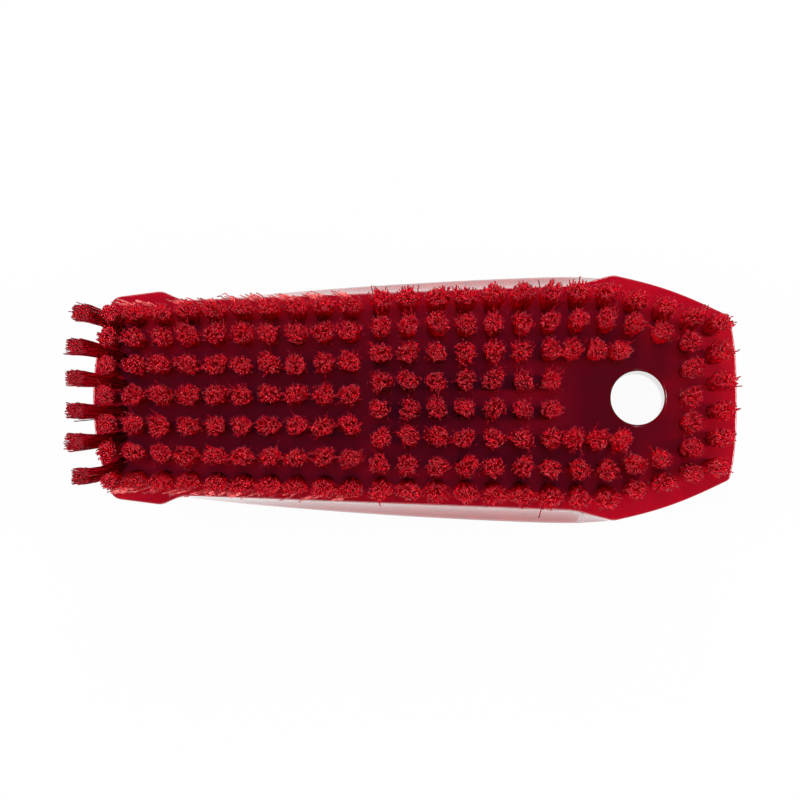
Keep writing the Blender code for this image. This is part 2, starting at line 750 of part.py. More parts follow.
def rear_rows(parts, cutters, material):
    """Rear rows and edge rows; the middle ones stop before the hanging hole, the rest pass beside it."""
    inner, middle, outer = REAR_ROW_shares
    short = short_tip_xs()
    long = rear_tip_xs()
    inner_loop = [loop_tuft(x, INNER_LOOP_INSET, INNER_LOOP_LEAN) for x in loop_root_xs()[:-1]]
    outer_loop = [loop_tuft(x, OUTER_LOOP_INSET, LOOP_LEAN) for x in loop_root_xs()]
    rows = (
        ("inner", [field_tuft(x, inner) for x in short]),
        ("middle", [field_tuft(x, middle) for x in short + close_tip_xs()]),
        ("outer", [field_tuft(x, outer) for x in long] + inner_loop),
        ("edge", [field_tuft(x, 1) for x in long] + outer_loop),
    )
    channels = []
    for word, tufts in rows:
        for side, hand in ((1, "left"), (-1, "right")):
            row = [mirrored(tuft, side) for tuft in tufts]
            channels.append(row_of(f"rear_row_{word}_{hand}", row, parts, cutters, material))
    return channels


def heel_rows(parts, cutters, material):
    """Two columns behind the hanging hole that close the loops of tufts."""
    inner_half = heel_half_width(HEEL_X - INNER_HEEL_SETBACK) - INNER_HEEL_INSET
    outer_half = heel_half_width(HEEL_X - OUTER_HEEL_SETBACK) - OUTER_HEEL_INSET
    inner_ys = evenly(-inner_half, inner_half, COLUMN_PITCH)
    outer_ys = evenly(-outer_half, outer_half, COLUMN_PITCH)
    inner_seat = (INNER_HEEL_SETBACK, INNER_LOOP_LEAN, INNER_HEEL_FAN_share)
    outer_seat = (OUTER_HEEL_SETBACK, HEEL_LEAN, OUTER_HEEL_FAN_share)
    inner = [heel_tuft(y, *inner_seat) for y in inner_ys]
    outer = [heel_tuft(y, *outer_seat) for y in outer_ys]
    return [
        row_of("heel_inner_tufts", inner, parts, cutters, material),
        row_of("heel_outer_tufts", outer, parts, cutters, material),
    ]


def main():
    """Build the block and the rows of tufts in it."""
    clear_scene()
    parts = new_collection("scrub_brush")
    cutters = new_collection("cutters", hidden=True)
    block_red = plastic("block_red", (0.31, 0.004, 0.012), 0.3)
    bristle_red = plastic("bristle_red", (0.46, 0.006, 0.014), 0.5)
    channels = [nose_tufts(parts, cutters, bristle_red)]
    channels += front_rows(parts, cutters, bristle_red)
    channels += rear_rows(parts, cutters, bristle_red)
    channels += heel_rows(parts, cutters, bristle_red)
    make_block(parts, cutters, channels, block_red)
    bpy.context.view_layer.update()


if __name__ == "__main__":
    main()
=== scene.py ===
"""Hand scrub brush, dressed: a moulded block and its tufts of filaments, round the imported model.

The block is modelled as one form, ring by ring from the face down to the crown, then bored for the
hanging hole and drilled for the tufts. The tufts are bundles of single filaments that stand in the
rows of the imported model. +X points to the heel with the hanging hole, -X to the nose with its
forward tufts, and z = 0 is the floor that the crown rests on. All in metres.
"""

import math

import bmesh
import bpy
import numpy as np
from bpy.props import FloatProperty, FloatVectorProperty, IntProperty, PointerProperty
from bpy.types import Operator, Panel, PropertyGroup
from mathutils import Matrix, Vector


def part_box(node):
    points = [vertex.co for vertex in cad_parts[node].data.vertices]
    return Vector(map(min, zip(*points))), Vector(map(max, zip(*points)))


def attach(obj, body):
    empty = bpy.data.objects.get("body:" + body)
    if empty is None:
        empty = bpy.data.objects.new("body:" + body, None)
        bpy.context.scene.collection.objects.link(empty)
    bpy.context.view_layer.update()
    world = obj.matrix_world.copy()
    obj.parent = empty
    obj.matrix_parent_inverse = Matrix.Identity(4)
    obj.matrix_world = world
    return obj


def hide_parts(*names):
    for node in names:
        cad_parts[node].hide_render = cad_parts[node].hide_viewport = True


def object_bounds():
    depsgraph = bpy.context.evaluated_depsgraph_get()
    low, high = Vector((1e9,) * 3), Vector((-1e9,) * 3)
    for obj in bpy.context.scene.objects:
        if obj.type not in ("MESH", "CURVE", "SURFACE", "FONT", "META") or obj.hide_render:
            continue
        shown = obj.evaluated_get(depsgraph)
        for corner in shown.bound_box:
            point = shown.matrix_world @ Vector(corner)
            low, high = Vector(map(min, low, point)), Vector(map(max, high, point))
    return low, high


bl_info = {
    "name": "Scrub Brush Builder",
    "version": (1, 0, 0),
    "blender": (4, 5, 0),
    "location": "3D Viewport > Sidebar > Scrub Brush",
    "description": "Builds a hand scrub brush: moulded block, rows of tufts and a plain stage",
    "category": "Add Mesh",
}

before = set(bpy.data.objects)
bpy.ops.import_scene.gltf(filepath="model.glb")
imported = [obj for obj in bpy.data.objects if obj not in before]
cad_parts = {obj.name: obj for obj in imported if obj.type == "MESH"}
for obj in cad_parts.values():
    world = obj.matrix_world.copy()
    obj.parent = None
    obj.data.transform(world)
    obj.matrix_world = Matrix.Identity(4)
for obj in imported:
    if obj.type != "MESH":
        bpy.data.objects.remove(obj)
CAD_BOX = [list(corner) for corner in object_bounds()]
BLOCK_LOW, BLOCK_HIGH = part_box("block")
OVERALL_LENGTH = CAD_BOX[1][0] - CAD_BOX[0][0]

# Steps of the block's outline and of its rings
EDGE_STEPS = 6
CORNER_STEPS = 8
ARC_STEPS = 10
SIDE_STEPS = 16
FLARE_STEPS = 10
DOME_STEPS = 20
SPREAD_SAMPLES = 33
HOLE_SIDES = 72
RIM_STEPS = 6

# Where the corners of the face lie along the block, from nose to heel
NOSE_FLANK_share = 0.034
NOSE_FLANK_WIDTH_share = 3 / 5
NOSE_WING_share = 0.107
WAIST_FRONT_share = 0.139
WAIST_REAR_share = 0.747
HEEL_WING_share = 0.808

# Rise of the two end arcs, the bulge of the heel sides, and the corner fillets of the face
NOSE_ARC_RISE = 0.004
HEEL_ARC_RISE = 0.0018
HEEL_ARC_POWER = 3
HEEL_SIDE_BULGE = 0.0012
NOSE_CORNER_RADIUS = 0.0018
WING_RADIUS = 0.001
WAIST_RADIUS = 0.002
HEEL_CORNER_RADIUS = 0.0008

# The back: its crown, how square its dome is, and how far its corners are spread
CROWN_LENGTH = 0.048
CROWN_WIDTH = 0.024
SIDE_DOME_POWER = 2.3
END_DOME_POWER = 1.45
FLARE_POWER = 1.6
BACK_INSET = 0.0012
BACK_CORNER_SPREAD = 0.016
BACK_WIDTH_shares = (
    (0.000, 0.363),
    (0.055, 0.381),
    (0.139, 0.400),
    (0.223, 0.425),
    (0.329, 0.448),
    (0.418, 0.466),
    (0.500, 0.479),
    (0.576, 0.490),
    (0.665, 0.500),
    (0.735, 0.506),
    (0.815, 0.499),
    (0.880, 0.452),
    (0.945, 0.383),
    (1.000, 0.316),
)

# The tuft field: columns from nose to heel, rows as shares of the half width of the field
CLOSE_PITCH = 0.0056
SECTION_GAP = 0.0072
SECTION_END_share = 0.4005
NOSE_ARC_TO_TIPS = 0.00415
FIELD_END_FROM_HEEL = 0.0323
ROW_STOP_BEFORE_HOLE = 0.0145
ROW_END_BEFORE_HOLE = 0.0050
FRONT_ROW_shares = (1 / 3, 2 / 3)
REAR_ROW_shares = (1 / 7, 3 / 7, 5 / 7)
ROOT_FIELD_share = 0.82
NOSE_TIP_FIELD_share = 0.900
HEEL_TIP_FIELD_share = 0.930
EVEN_ROOT_share = 0.116
FAN_ALONG_share = 0.990
FIRST_COLUMN_SETBACK = 0.0048
FIRST_COLUMN_BOW = 0.0016
FIRST_TIP_BOW = 0.0009
NOSE_ROOT_SETBACK = 0.0072
NOSE_TUFT_HEIGHT = 0.0242
NOSE_TUFT_PAIRS = 3
NOSE_TIP_REACH = 0.0024
NOSE_TIP_FAN_shares = (1.22, 1.20, 1.235)
NOSE_OUTER_TIP_BACK = 0.0016
OUTER_LOOP_INSET = 0.0072
INNER_LOOP_INSET = 0.0126
LOOP_LEAN = 0.0015
INNER_LOOP_LEAN = 0.0006
INNER_HEEL_SETBACK = 0.0124
INNER_HEEL_INSET = 0.0122
OUTER_HEEL_SETBACK = 0.0058
OUTER_HEEL_INSET = 0.0053
HEEL_LEAN = 0.0017
INNER_HEEL_FAN_share = 1.02
OUTER_HEEL_FAN_share = 1.05

# Drilled tuft holes
DRILL_SIDES = 16
DRILL_DEPTH = 0.0032
DRILL_CLEARANCE = 0.00015
COUNTERSINK = 0.0001
CUT_OVERRUN = 0.002

# One filament: its sides and stations, its wave, and how the worn ones are swept aside
FILAMENT_SIDES = 4
FILAMENT_STATION_shares = (0.0, 0.48, 0.74, 0.84, 0.92, 1.0)
FILAMENT_SINK = 0.0028
BEND_share = 0.5
WAVE_START_share = 0.5
WAVE_TURNS = 6.2
WAVE_SPREAD_shares = (0.4, 1.3)
WEAR_START_share = 0.45
WEAR_SPREAD_shares = (0.2, 1.0)
WORN_BEND_share = 0.92
WORN_SWEEP = (-0.0048, 0.0011)
WORN_SWEEP_shares = (0.3, 1.0)

# One tuft: how its filaments are laid out, and how much of that is left to chance
GOLDEN_ANGLE = math.pi * (3 - math.sqrt(5))
COUNT_SPREAD_shares = (0.94, 1.06)
SIZE_SPREAD_shares = (0.95, 1.06)
DISC_SCATTER_share = 0.05
TWO_LOBES_share = 0.11
THREE_LOBES_share = 0.09
LOBE_TURN = 6.3
PARTING_TURN = 0.35
PARTING_share = 0.10
OPENING_SPREAD_share = 0.15
OUTERMOST_share = 0.45
STRAY_REACH_shares = (1.15, 1.6)
END_SCATTER = 0.00030
BEND_SCATTER = 0.00020
TUFT_DRIFT = 0.00020
CUT_TILT = 0.05

# Kinds of tuft: the size of their tips, how far their ends are moved, and their painted shade
FRONT_TIP_share = 1.03
FIRST_TIP_share = 0.92
CORNER_TIP_share = 0.85
CORNER_FIELD_share = 0.8
EDGE_SHIFTS = {
    "front_row_edge_left": -0.0012,
    "rear_row_edge_left": -0.0003,
    "rear_row_edge_right": -0.0003,
}
# Painted shade: the colour of the forward and outer tufts is darkened, most at the root, where
# shade falls between the rows
FORWARD_PAINTED_SHADE = (0.1, 0.42)
OUTER_PAINTED_SHADE = (0.3, 0.95)

# Smooth shading up to these angles between two faces
BLOCK_SMOOTH_ANGLE = math.radians(35)
FILAMENT_SMOOTH_ANGLE = math.radians(80)

# The plastic of the block: flow marks, uneven gloss and a fine moulded skin
NOISE_RANGE = (0.3, 0.7)
FLOW_SCALE = 22.0
FLOW_RANGE = (0.35, 0.65)
FLOW_TINTS = (0.93, 1.06)
GLOSS_SCALE = 60.0
GLOSS_CHANGES = (-0.05, 0.07)
SKIN_SCALE = 1400.0
SKIN_STRENGTH = 0.12
SKIN_HEIGHT = 0.00004
BLOCK_GLOW_COLOUR = (1.0, 0.10, 0.14)
COAT_ROUGHNESS = 0.06

# The plastic of the filaments: where the tip colour begins over the shaft colour, which is a
# painted glow; how they differ from each other; the cut ends, partly their own whitening and partly
# a painted highlight; and how dark the painted shade makes the tip colour
TIP_COLOUR_START_share = 0.55
GRAIN_SCALE = 420.0
GRAIN_TINTS = (0.9, 1.08)
DARK_SHAFT_share = 0.15
DARK_SHAFT_TINT = 0.7
# Cut ends: their own whitening and a painted highlight, stronger in a random share of the filaments
WHITENED_AND_HIGHLIT_shares = (0.1, 1.0)
WHITENED_AND_HIGHLIT_SHADES = (0.45, 0.90)
SHADED_TINT = 0.15
FILAMENT_ROUGHNESS = (0.34, 0.48)
FILAMENT_GLOW_COLOUR = (1.0, 0.4, 0.4)
FILAMENT_GLOW_DIAMETERS = 16
FILAMENT_SPECULAR = 0.10

# The stage: how the floor and the ceiling look, and where the camera begins to see
SPECKLE_SCALE = 9.0
SPECKLE_TINTS = (0.99, 1.01)
FLOOR_ROUGHNESS = 0.9
FLOOR_WHITE_share = 0.96
CEILING_START_shares = (0.05, 0.45)
CAMERA_CLIP_START = 0.05

# Spacing of the nodes in a material
NODE_SPACING = 260
NODE_COLUMNS = 6


class BlockSettings(PropertyGroup):
    """Sizes and finish of the moulded block."""

    length: FloatProperty(
        name="Length", description="Length of the block from nose to heel",
        default=BLOCK_HIGH.x - BLOCK_LOW.x, unit="LENGTH")
    depth: FloatProperty(
        name="Depth", description="Height of the bristle face above the crown",
        default=BLOCK_HIGH.z - BLOCK_LOW.z, unit="LENGTH")
    nose_edge_width: FloatProperty(
        name="Nose Edge", description="Width of the face at the nose edge",
        default=0.045, unit="LENGTH")
    nose_wing_width: FloatProperty(
        name="Nose Wings", description="Width of the face over the nose wings",
        default=0.0525, unit="LENGTH")
    waist_front_width: FloatProperty(
        name="Waist Front", description="Width of the face behind the nose wings",
        default=0.048, unit="LENGTH")
    waist_rear_width: FloatProperty(
        name="Waist Rear", description="Width of the face before the heel wings",
        default=0.0553, unit="LENGTH")
    heel_wing_width: FloatProperty(
        name="Heel Wings", description="Width of the face over the heel wings",
        default=0.0604, unit="LENGTH")
    heel_edge_width: FloatProperty(
        name="Heel Edge", description="Width of the face at the heel edge",
        default=0.0402, unit="LENGTH")
    edge_radius: FloatProperty(
        name="Edge Radius", description="Round along the edge of the face",
        default=0.0004, unit="LENGTH")
    rim_depth: FloatProperty(
        name="Rim Depth", description="Height of the upright rim under the face",
        default=0.0045, unit="LENGTH")
    grip_depth: FloatProperty(
        name="Grip Depth", description="Depth of the back's widest line below the face",
        default=0.0155, unit="LENGTH")
    hole_diameter: FloatProperty(
        name="Hanging Hole", description="Diameter of the hanging hole",
        default=0.0132, unit="LENGTH")
    hole_from_heel: FloatProperty(
        name="Hole From Heel", description="Distance of the hanging hole's axis from the heel edge",
        default=0.0243, unit="LENGTH")
    hole_rim: FloatProperty(
        name="Hole Rim", description="Round at both ends of the hanging hole",
        default=0.0008, unit="LENGTH")
    colour: FloatVectorProperty(
        name="Colour", description="Colour of the moulded plastic",
        subtype="COLOR", default=(0.51, 0.0011, 0.010), min=0, max=1)
    roughness: FloatProperty(
        name="Roughness", description="Roughness of the moulded plastic",
        default=0.20, min=0, max=1, subtype="FACTOR")
    glow: FloatProperty(
        name="Glow", description="How much of the light spreads inside the plastic",
        default=0.6, min=0, max=1, subtype="FACTOR")
    glow_depth: FloatProperty(
        name="Glow Depth", description="How far the light spreads inside the plastic",
        default=0.004, unit="LENGTH")
    coat: FloatProperty(
        name="Polish", description="Strength of the polished mould surface",
        default=0.8, min=0, max=1, subtype="FACTOR")


class TuftSettings(PropertyGroup):
    """Sizes and finish of the tufts."""

    length: FloatProperty(
        name="Bristle Length", description="Height of the bristle tips above the face",
        default=CAD_BOX[1][2] - (BLOCK_HIGH.z - BLOCK_LOW.z), unit="LENGTH")
    pitch: FloatProperty(
        name="Column Pitch", description="Distance between two columns of tufts",
        default=0.0066, unit="LENGTH")
    filaments: IntProperty(
        name="Filaments", description="Filaments in one tuft",
        default=160, min=3)
    diameter: FloatProperty(
        name="Filament Diameter", description="Diameter of one filament",
        default=0.00030, unit="LENGTH")
    root_radius: FloatProperty(
        name="Root Radius", description="Radius of a tuft in its hole",
        default=0.00155, unit="LENGTH")
    tip_radius: FloatProperty(
        name="Tip Radius", description="Radius of a tuft at its tips",
        default=0.00238, unit="LENGTH")
    wave: FloatProperty(
        name="Wave", description="How far the crimped filaments swing out near their tips",
        default=0.00026, unit="LENGTH")
    unevenness: FloatProperty(
        name="Unevenness", description="How much the cut tips differ in height",
        default=0.0003, unit="LENGTH")
    # Painted glow: the shafts are coloured brighter than the tips, to stand in for light that
    # passes through the filaments and to lift the shade between the rows
    painted_glow_shaft_colour: FloatVectorProperty(
        name="Shaft Colour", description="Colour of the filaments near the block",
        subtype="COLOR", default=(0.90, 0.0025, 0.022), min=0, max=1)
    tip_colour: FloatVectorProperty(
        name="Tip Colour", description="Colour of the filaments near their tips",
        subtype="COLOR", default=(0.27, 0.002, 0.013), min=0, max=1)
    # Cut ends: paler partly by their own whitening and partly as a painted highlight of the light
    # they catch
    cut_whitening_and_highlight_colour: FloatVectorProperty(
        name="Cut Colour", description="Colour of the whitened, cut ends",
        subtype="COLOR", default=(0.27, 0.036, 0.042), min=0, max=1)
    worn_colour: FloatVectorProperty(
        name="Worn Colour", description="Colour of the worn filaments of the front edge rows",
        subtype="COLOR", default=(0.75, 0.20, 0.19), min=0, max=1)
    translucency: FloatProperty(
        name="Translucency", description="How much of the light spreads inside the filaments",
        default=1.0, min=0, max=1, subtype="FACTOR")
    nose_root_radius: FloatProperty(
        name="Nose Root Radius", description="Radius in their holes of the tufts at the nose",
        default=0.00122, unit="LENGTH")
    nose_tip_radius: FloatProperty(
        name="Nose Tip Radius", description="Radius at their tips of the forward tufts",
        default=0.00198, unit="LENGTH")
    seed: IntProperty(
        name="Seed", description="Start of the random scatter of the filaments",
        default=7, min=0)


class StageSettings(PropertyGroup):
    """Floor, light and camera."""

    floor_colour: FloatVectorProperty(
        name="Floor Colour", description="Colour of the floor",
        subtype="COLOR", default=(0.92, 0.92, 0.92), min=0, max=1)
    floor_size: FloatProperty(
        name="Floor Size", description="Side of the square floor",
        default=30.0, unit="LENGTH")
    lamp_power: FloatVectorProperty(
        name="Lamp Power", description="Power of the heel, far, nose and near lamp",
        size=4, default=(8.0, 3.5, 6.0, 1.5))
    lamp_size: FloatProperty(
        name="Lamp Size", description="Side of each square lamp",
        default=0.40, unit="LENGTH")
    lamp_distance: FloatProperty(
        name="Lamp Distance", description="Distance of the lamps from the brush",
        default=1.1, unit="LENGTH")
    lamp_elevation: FloatVectorProperty(
        name="Lamp Elevation", description="Height of the lamps above the horizon, as angles",
        size=4, default=[math.radians(angle) for angle in (36, 42, 42, 42)], unit="ROTATION")
    fill_strength: FloatProperty(
        name="Fill", description="Strength of the even light from all sides",
        default=0.20)
    ceiling_colour: FloatVectorProperty(
        name="Ceiling Colour", description="Colour of the dim ceiling that the gloss reflects",
        subtype="COLOR", default=(0.012, 0.020, 0.100), min=0, max=1)
    camera_elevation: FloatProperty(
        name="Camera Elevation", description="Height of the camera above the horizon, as an angle",
        default=math.radians(88), subtype="ANGLE", unit="ROTATION")
    camera_distance: FloatProperty(
        name="Camera Distance", description="Distance from the camera to the bristle face",
        default=1.538, unit="LENGTH")
    camera_aim: FloatVectorProperty(
        name="Camera Aim", description="Point that the camera looks at",
        subtype="TRANSLATION", unit="LENGTH", default=(-0.000645, -0.00054, 0.026), precision=6)
    lens: FloatProperty(
        name="Focal Length", description="Focal length of the camera, in millimetres",
        default=282.0)


# Outlines and places


def between(low, high, share):
    """The value a share of the way from one to another."""
    return low + (high - low) * share


def evenly(start, end, pitch):
    """Places from start to end, in a whole number of steps that are as near the pitch as can be."""
    steps = max(round((end - start) / pitch), 1)
    return [between(start, end, step / steps) for step in range(steps + 1)]


def fillet(before, corner, after, radius):
    """Points of a round that replaces a corner: a quadratic curve between two tangent points."""
    reach_in = min(radius, (before - corner).length / 2)
    reach_out = min(radius, (after - corner).length / 2)
    start = corner + (before - corner).normalized() * reach_in
    end = corner + (after - corner).normalized() * reach_out
    points = []
    for step in range(CORNER_STEPS + 1):
        share = step / CORNER_STEPS
        points.append(start.lerp(corner, share).lerp(corner.lerp(end, share), share))
    return points


def smooth_through(stations, value):
    """A smooth curve through given stations, read at one value."""
    places = [station[0] for station in stations]
    heights = [station[1] for station in stations]
    slopes = np.gradient(np.array(heights), np.array(places))
    value = min(max(value, places[0]), places[-1])
    index = min(int(np.searchsorted(places, value, side="right")) - 1, len(places) - 2)
    index = max(index, 0)
    span = places[index + 1] - places[index]
    share = (value - places[index]) / span
    rise = (1 - share) ** 2 * (1 + 2 * share) * heights[index]
    rise += share**2 * (3 - 2 * share) * heights[index + 1]
    rise += span * share * (1 - share) ** 2 * slopes[index]
    rise -= span * share**2 * (1 - share) * slopes[index + 1]
    return rise


def dome_height(share, power):
    """Height above the crown as a share of the widest line's height, a share of the way in."""
    return 1 - (1 - (1 - share) ** power) ** (1 / power)


def mirrored_ring(points, heights):
    """A closed ring of (x, y, z) from the half outline and its mirror image."""
    ring = [Vector((point.x, point.y, z)) for point, z in zip(points, heights)]
    ring[0].y = 0
    ring[-1].y = 0
    return ring + [Vector((point.x, -point.y, point.z)) for point in ring[-2:0:-1]]


def inset_outline(points, inset):
    """The half outline moved inwards, for the rounded edge of the face."""
    moved = []
    for index, point in enumerate(points):
        before = points[index - 1] if index else Vector((point.x, -points[1].y))
        last = index == len(points) - 1
        after = Vector((point.x, -points[-2].y)) if last else points[index + 1]
        along = (after - before).normalized()
        moved.append(point + Vector((along.y, -along.x)) * inset)
    return moved


def rounded_outline(points):
    """The half outline with its corners spread: each point is the mean of a stretch of the ring."""
    ring = points + [Vector((point.x, -point.y)) for point in points[-2:0:-1]]
    steps = [(after - point).length for point, after in zip(ring, ring[1:] + ring[:1])]
    places = np.concatenate([[0], np.cumsum(steps)])
    xs = [point.x for point in ring + ring[:1]]
    ys = [point.y for point in ring + ring[:1]]
    window = np.linspace(-BACK_CORNER_SPREAD / 2, BACK_CORNER_SPREAD / 2, SPREAD_SAMPLES)
    rounded = []
    for index in range(len(points)):
        stretch = (places[index] + window) % places[-1]
        x = np.interp(stretch, places, xs).mean()
        y = np.interp(stretch, places, ys).mean()
        rounded.append(Vector((x, y)))
    return rounded


class BrushPlan:
    """Places that follow from the settings: outline of the face, the back and the tuft field."""

    def __init__(self, scene):
        self.block = scene.brush_block
        self.tufts = scene.brush_tufts
        self.length = self.block.length
        self.heel_x = OVERALL_LENGTH / 2
        self.nose_x = self.heel_x - self.length
        self.middle_x = (self.nose_x + self.heel_x) / 2
        self.hole_x = self.heel_x - self.block.hole_from_heel
        self.face_z = self.block.depth
        self.tip_z = self.block.depth + self.tufts.length
        self.grip_z = self.block.depth - self.block.grip_depth
        self.heel_corner_x = self.heel_x - HEEL_ARC_RISE

    def along(self, share):
        """The x a share of the way from nose to heel."""
        return self.nose_x + share * self.length

    # The face

    def waist_half_width(self, x):
        """Half the width of the face between its wings, a straight line along the whole block."""
        front = self.along(WAIST_FRONT_share)
        share = (x - front) / (self.along(WAIST_REAR_share) - front)
        return between(self.block.waist_front_width, self.block.waist_rear_width, share) / 2

    def heel_half_width(self, x):
        """Half the width of the face behind the heel wings, whose sides bulge a little."""
        wing_x = self.along(HEEL_WING_share)
        share = (x - wing_x) / (self.heel_corner_x - wing_x)
        straight = between(self.block.heel_wing_width, self.block.heel_edge_width, share) / 2
        return straight + HEEL_SIDE_BULGE * math.sin(math.pi * min(max(share, 0), 1))

    def nose_edge_x(self, y):
        """The nose edge of the face, an arc that bows forward."""
        return self.nose_x + NOSE_ARC_RISE * (2 * y / self.block.nose_edge_width) ** 2

    def heel_edge_x(self, y):
        """The heel edge of the face, an arc that bows back."""
        share = abs(2 * y / self.block.heel_edge_width)
        return self.heel_x - HEEL_ARC_RISE * share**HEEL_ARC_POWER

    def half_face_outline(self):
        """Points of the face outline on the +Y side, from mid nose to mid heel."""
        block = self.block
        nose_half = block.nose_edge_width / 2
        heel_half = block.heel_edge_width / 2
        wing_x = self.along(HEEL_WING_share)
        flank_width = between(block.nose_edge_width, block.nose_wing_width,
                              NOSE_FLANK_WIDTH_share)
        nose_corner = Vector((self.nose_edge_x(nose_half), nose_half))
        flank = Vector((self.along(NOSE_FLANK_share), flank_width / 2))
        wing = Vector((self.along(NOSE_WING_share), block.nose_wing_width / 2))
        waist_front = Vector((self.along(WAIST_FRONT_share), block.waist_front_width / 2))
        waist_rear = Vector((self.along(WAIST_REAR_share), block.waist_rear_width / 2))
        heel_wing = Vector((wing_x, block.heel_wing_width / 2))
        heel_corner = Vector((self.heel_corner_x, heel_half))
        heel_side_x = between(wing_x, self.heel_corner_x, 1 / SIDE_STEPS)
        heel_side = Vector((heel_side_x, self.heel_half_width(heel_side_x)))
        points = []
        for step in range(ARC_STEPS):
            y = nose_half * step / ARC_STEPS
            points.append(Vector((self.nose_edge_x(y), y)))
        points += fillet(points[-1], nose_corner, flank, NOSE_CORNER_RADIUS)
        points += fillet(nose_corner, flank, wing, NOSE_CORNER_RADIUS)[1:]
        points += fillet(flank, wing, waist_front, WING_RADIUS)
        points += fillet(wing, waist_front, waist_rear, WAIST_RADIUS)
        for step in range(1, SIDE_STEPS):
            points.append(waist_front.lerp(waist_rear, step / SIDE_STEPS))
        points += fillet(waist_front, waist_rear, heel_wing, WAIST_RADIUS)
        points += fillet(waist_rear, heel_wing, heel_side, WING_RADIUS)
        for step in range(2, SIDE_STEPS):
            x = between(wing_x, self.heel_corner_x, step / SIDE_STEPS)
            points.append(Vector((x, self.heel_half_width(x))))
        heel_arc_y = heel_half * (ARC_STEPS - 1) / ARC_STEPS
        heel_arc_end = Vector((self.heel_edge_x(heel_arc_y), heel_arc_y))
        points += fillet(points[-1], heel_corner, heel_arc_end, HEEL_CORNER_RADIUS)
        for step in range(ARC_STEPS):
            y = heel_half * (1 - (step + 1) / ARC_STEPS)
            points.append(Vector((self.heel_edge_x(y), y)))
        return points

    # The back

    def back_half_width(self, x):
        """Half the width of the back at its widest line."""
        share = (x - self.nose_x) / self.length
        return self.block.heel_wing_width * smooth_through(BACK_WIDTH_shares, share)

    def widest_point(self, point):
        """The point of the back's widest line that lies under a point of the face outline."""
        x = self.middle_x + (point.x - self.middle_x) * (1 - 2 * BACK_INSET / self.length)
        nose_corner_x = self.nose_edge_x(self.block.nose_edge_width / 2)
        if point.x < nose_corner_x:
            share = 2 * point.y / self.block.nose_edge_width
            return Vector((x, share * self.back_half_width(nose_corner_x)))
        if point.x > self.heel_corner_x:
            share = 2 * point.y / self.block.heel_edge_width
            return Vector((x, share * self.back_half_width(self.heel_corner_x)))
        return Vector((x, self.back_half_width(point.x)))

    def towards_crown(self, point):
        """How far a point lies across and along the block, each as a share of its half."""
        across = point.y / (self.block.heel_wing_width / 2)
        return across, (point.x - self.middle_x) / (self.length / 2)

    def crown_point(self, point):
        """The point of the crown's ellipse that a point of the widest line runs down to."""
        angle = math.atan2(*self.towards_crown(point))
        x = self.middle_x + CROWN_LENGTH / 2 * math.cos(angle)
        return Vector((x, CROWN_WIDTH / 2 * math.sin(angle)))

    def dome_power(self, point):
        """How square the dome is: fuller at the sides, flatter towards nose and heel."""
        across, along = self.towards_crown(point)
        side_share = across**2 / (across**2 + along**2)
        return between(END_DOME_POWER, SIDE_DOME_POWER, side_share)

    def back_height(self, x):
        """Height of the back on the centre line, behind the crown."""
        heel_edge = self.widest_point(Vector((self.heel_x, 0))).x
        crown_end = self.middle_x + CROWN_LENGTH / 2
        return self.grip_z * dome_height((heel_edge - x) / (heel_edge - crown_end), END_DOME_POWER)

    def block_rings(self):
        """Rings from the face down to the crown: rounded edge, rim, flare and dome."""
        face = self.half_face_outline()
        widest = rounded_outline([self.widest_point(point) for point in face])
        crown = [self.crown_point(point) for point in widest]
        radius = self.block.edge_radius
        rings = []
        for step in range(EDGE_STEPS + 1):
            angle = math.pi / 2 * step / EDGE_STEPS
            height = self.face_z - radius * (1 - math.cos(angle))
            outline = inset_outline(face, radius * (1 - math.sin(angle)))
            rings.append(mirrored_ring(outline, [height] * len(face)))
        rim_z = self.face_z - self.block.rim_depth
        rings.append(mirrored_ring(face, [rim_z] * len(face)))
        for step in range(1, FLARE_STEPS + 1):
            share = step / FLARE_STEPS
            points = [a.lerp(b, share**FLARE_POWER) for a, b in zip(face, widest)]
            rings.append(mirrored_ring(points, [between(rim_z, self.grip_z, share)] * len(face)))
        for step in range(1, DOME_STEPS + 1):
            share = math.sin(math.pi / 2 * step / DOME_STEPS) ** 2
            points = [a.lerp(b, share) for a, b in zip(widest, crown)]
            heights = [self.grip_z * dome_height(share, self.dome_power(point)) for point in widest]
            rings.append(mirrored_ring(points, heights))
        for point in [point for ring in rings for point in ring]:
            point.y = min(max(point.y, BLOCK_LOW.y), BLOCK_HIGH.y)
        return rings

    # The tufts: each is its root on the face and the middle of its tips

    def root_half_field(self, x):
        """Half the width of the tuft field at the face."""
        return ROOT_FIELD_share * self.waist_half_width(x)

    def row_root_y(self, x, share):
        """How far out a row's root stands: the rows lean out more and more towards the edge."""
        return share * self.root_half_field(x) * (1 + EVEN_ROOT_share * (1 - share**2))

    def tip_half_field(self, x):
        """Half the width of the tuft field at the tips, which spread more towards the heel."""
        along = (x - self.nose_x) / self.length
        share = between(NOSE_TIP_FIELD_share, HEEL_TIP_FIELD_share, along)
        return share * self.waist_half_width(x)

    def first_tip_x(self):
        """Where the tips of the first column stand on the centre line."""
        return self.nose_x + NOSE_ARC_TO_TIPS

    def front_tip_xs(self):
        """Tips of the front columns after the first."""
        return evenly(self.first_tip_x(), self.along(SECTION_END_share), self.tufts.pitch)[1:]

    def rear_tip_xs(self):
        """Tips of the rear columns, up to where the heel narrows."""
        start = self.along(SECTION_END_share) + SECTION_GAP
        return evenly(start, self.heel_x - FIELD_END_FROM_HEEL, self.tufts.pitch)

    def short_tip_xs(self):
        """Tips of the rear columns that stop before the hanging hole."""
        stop = self.hole_x - self.block.hole_diameter / 2 - ROW_STOP_BEFORE_HOLE
        return [x for x in self.rear_tip_xs() if x < stop]

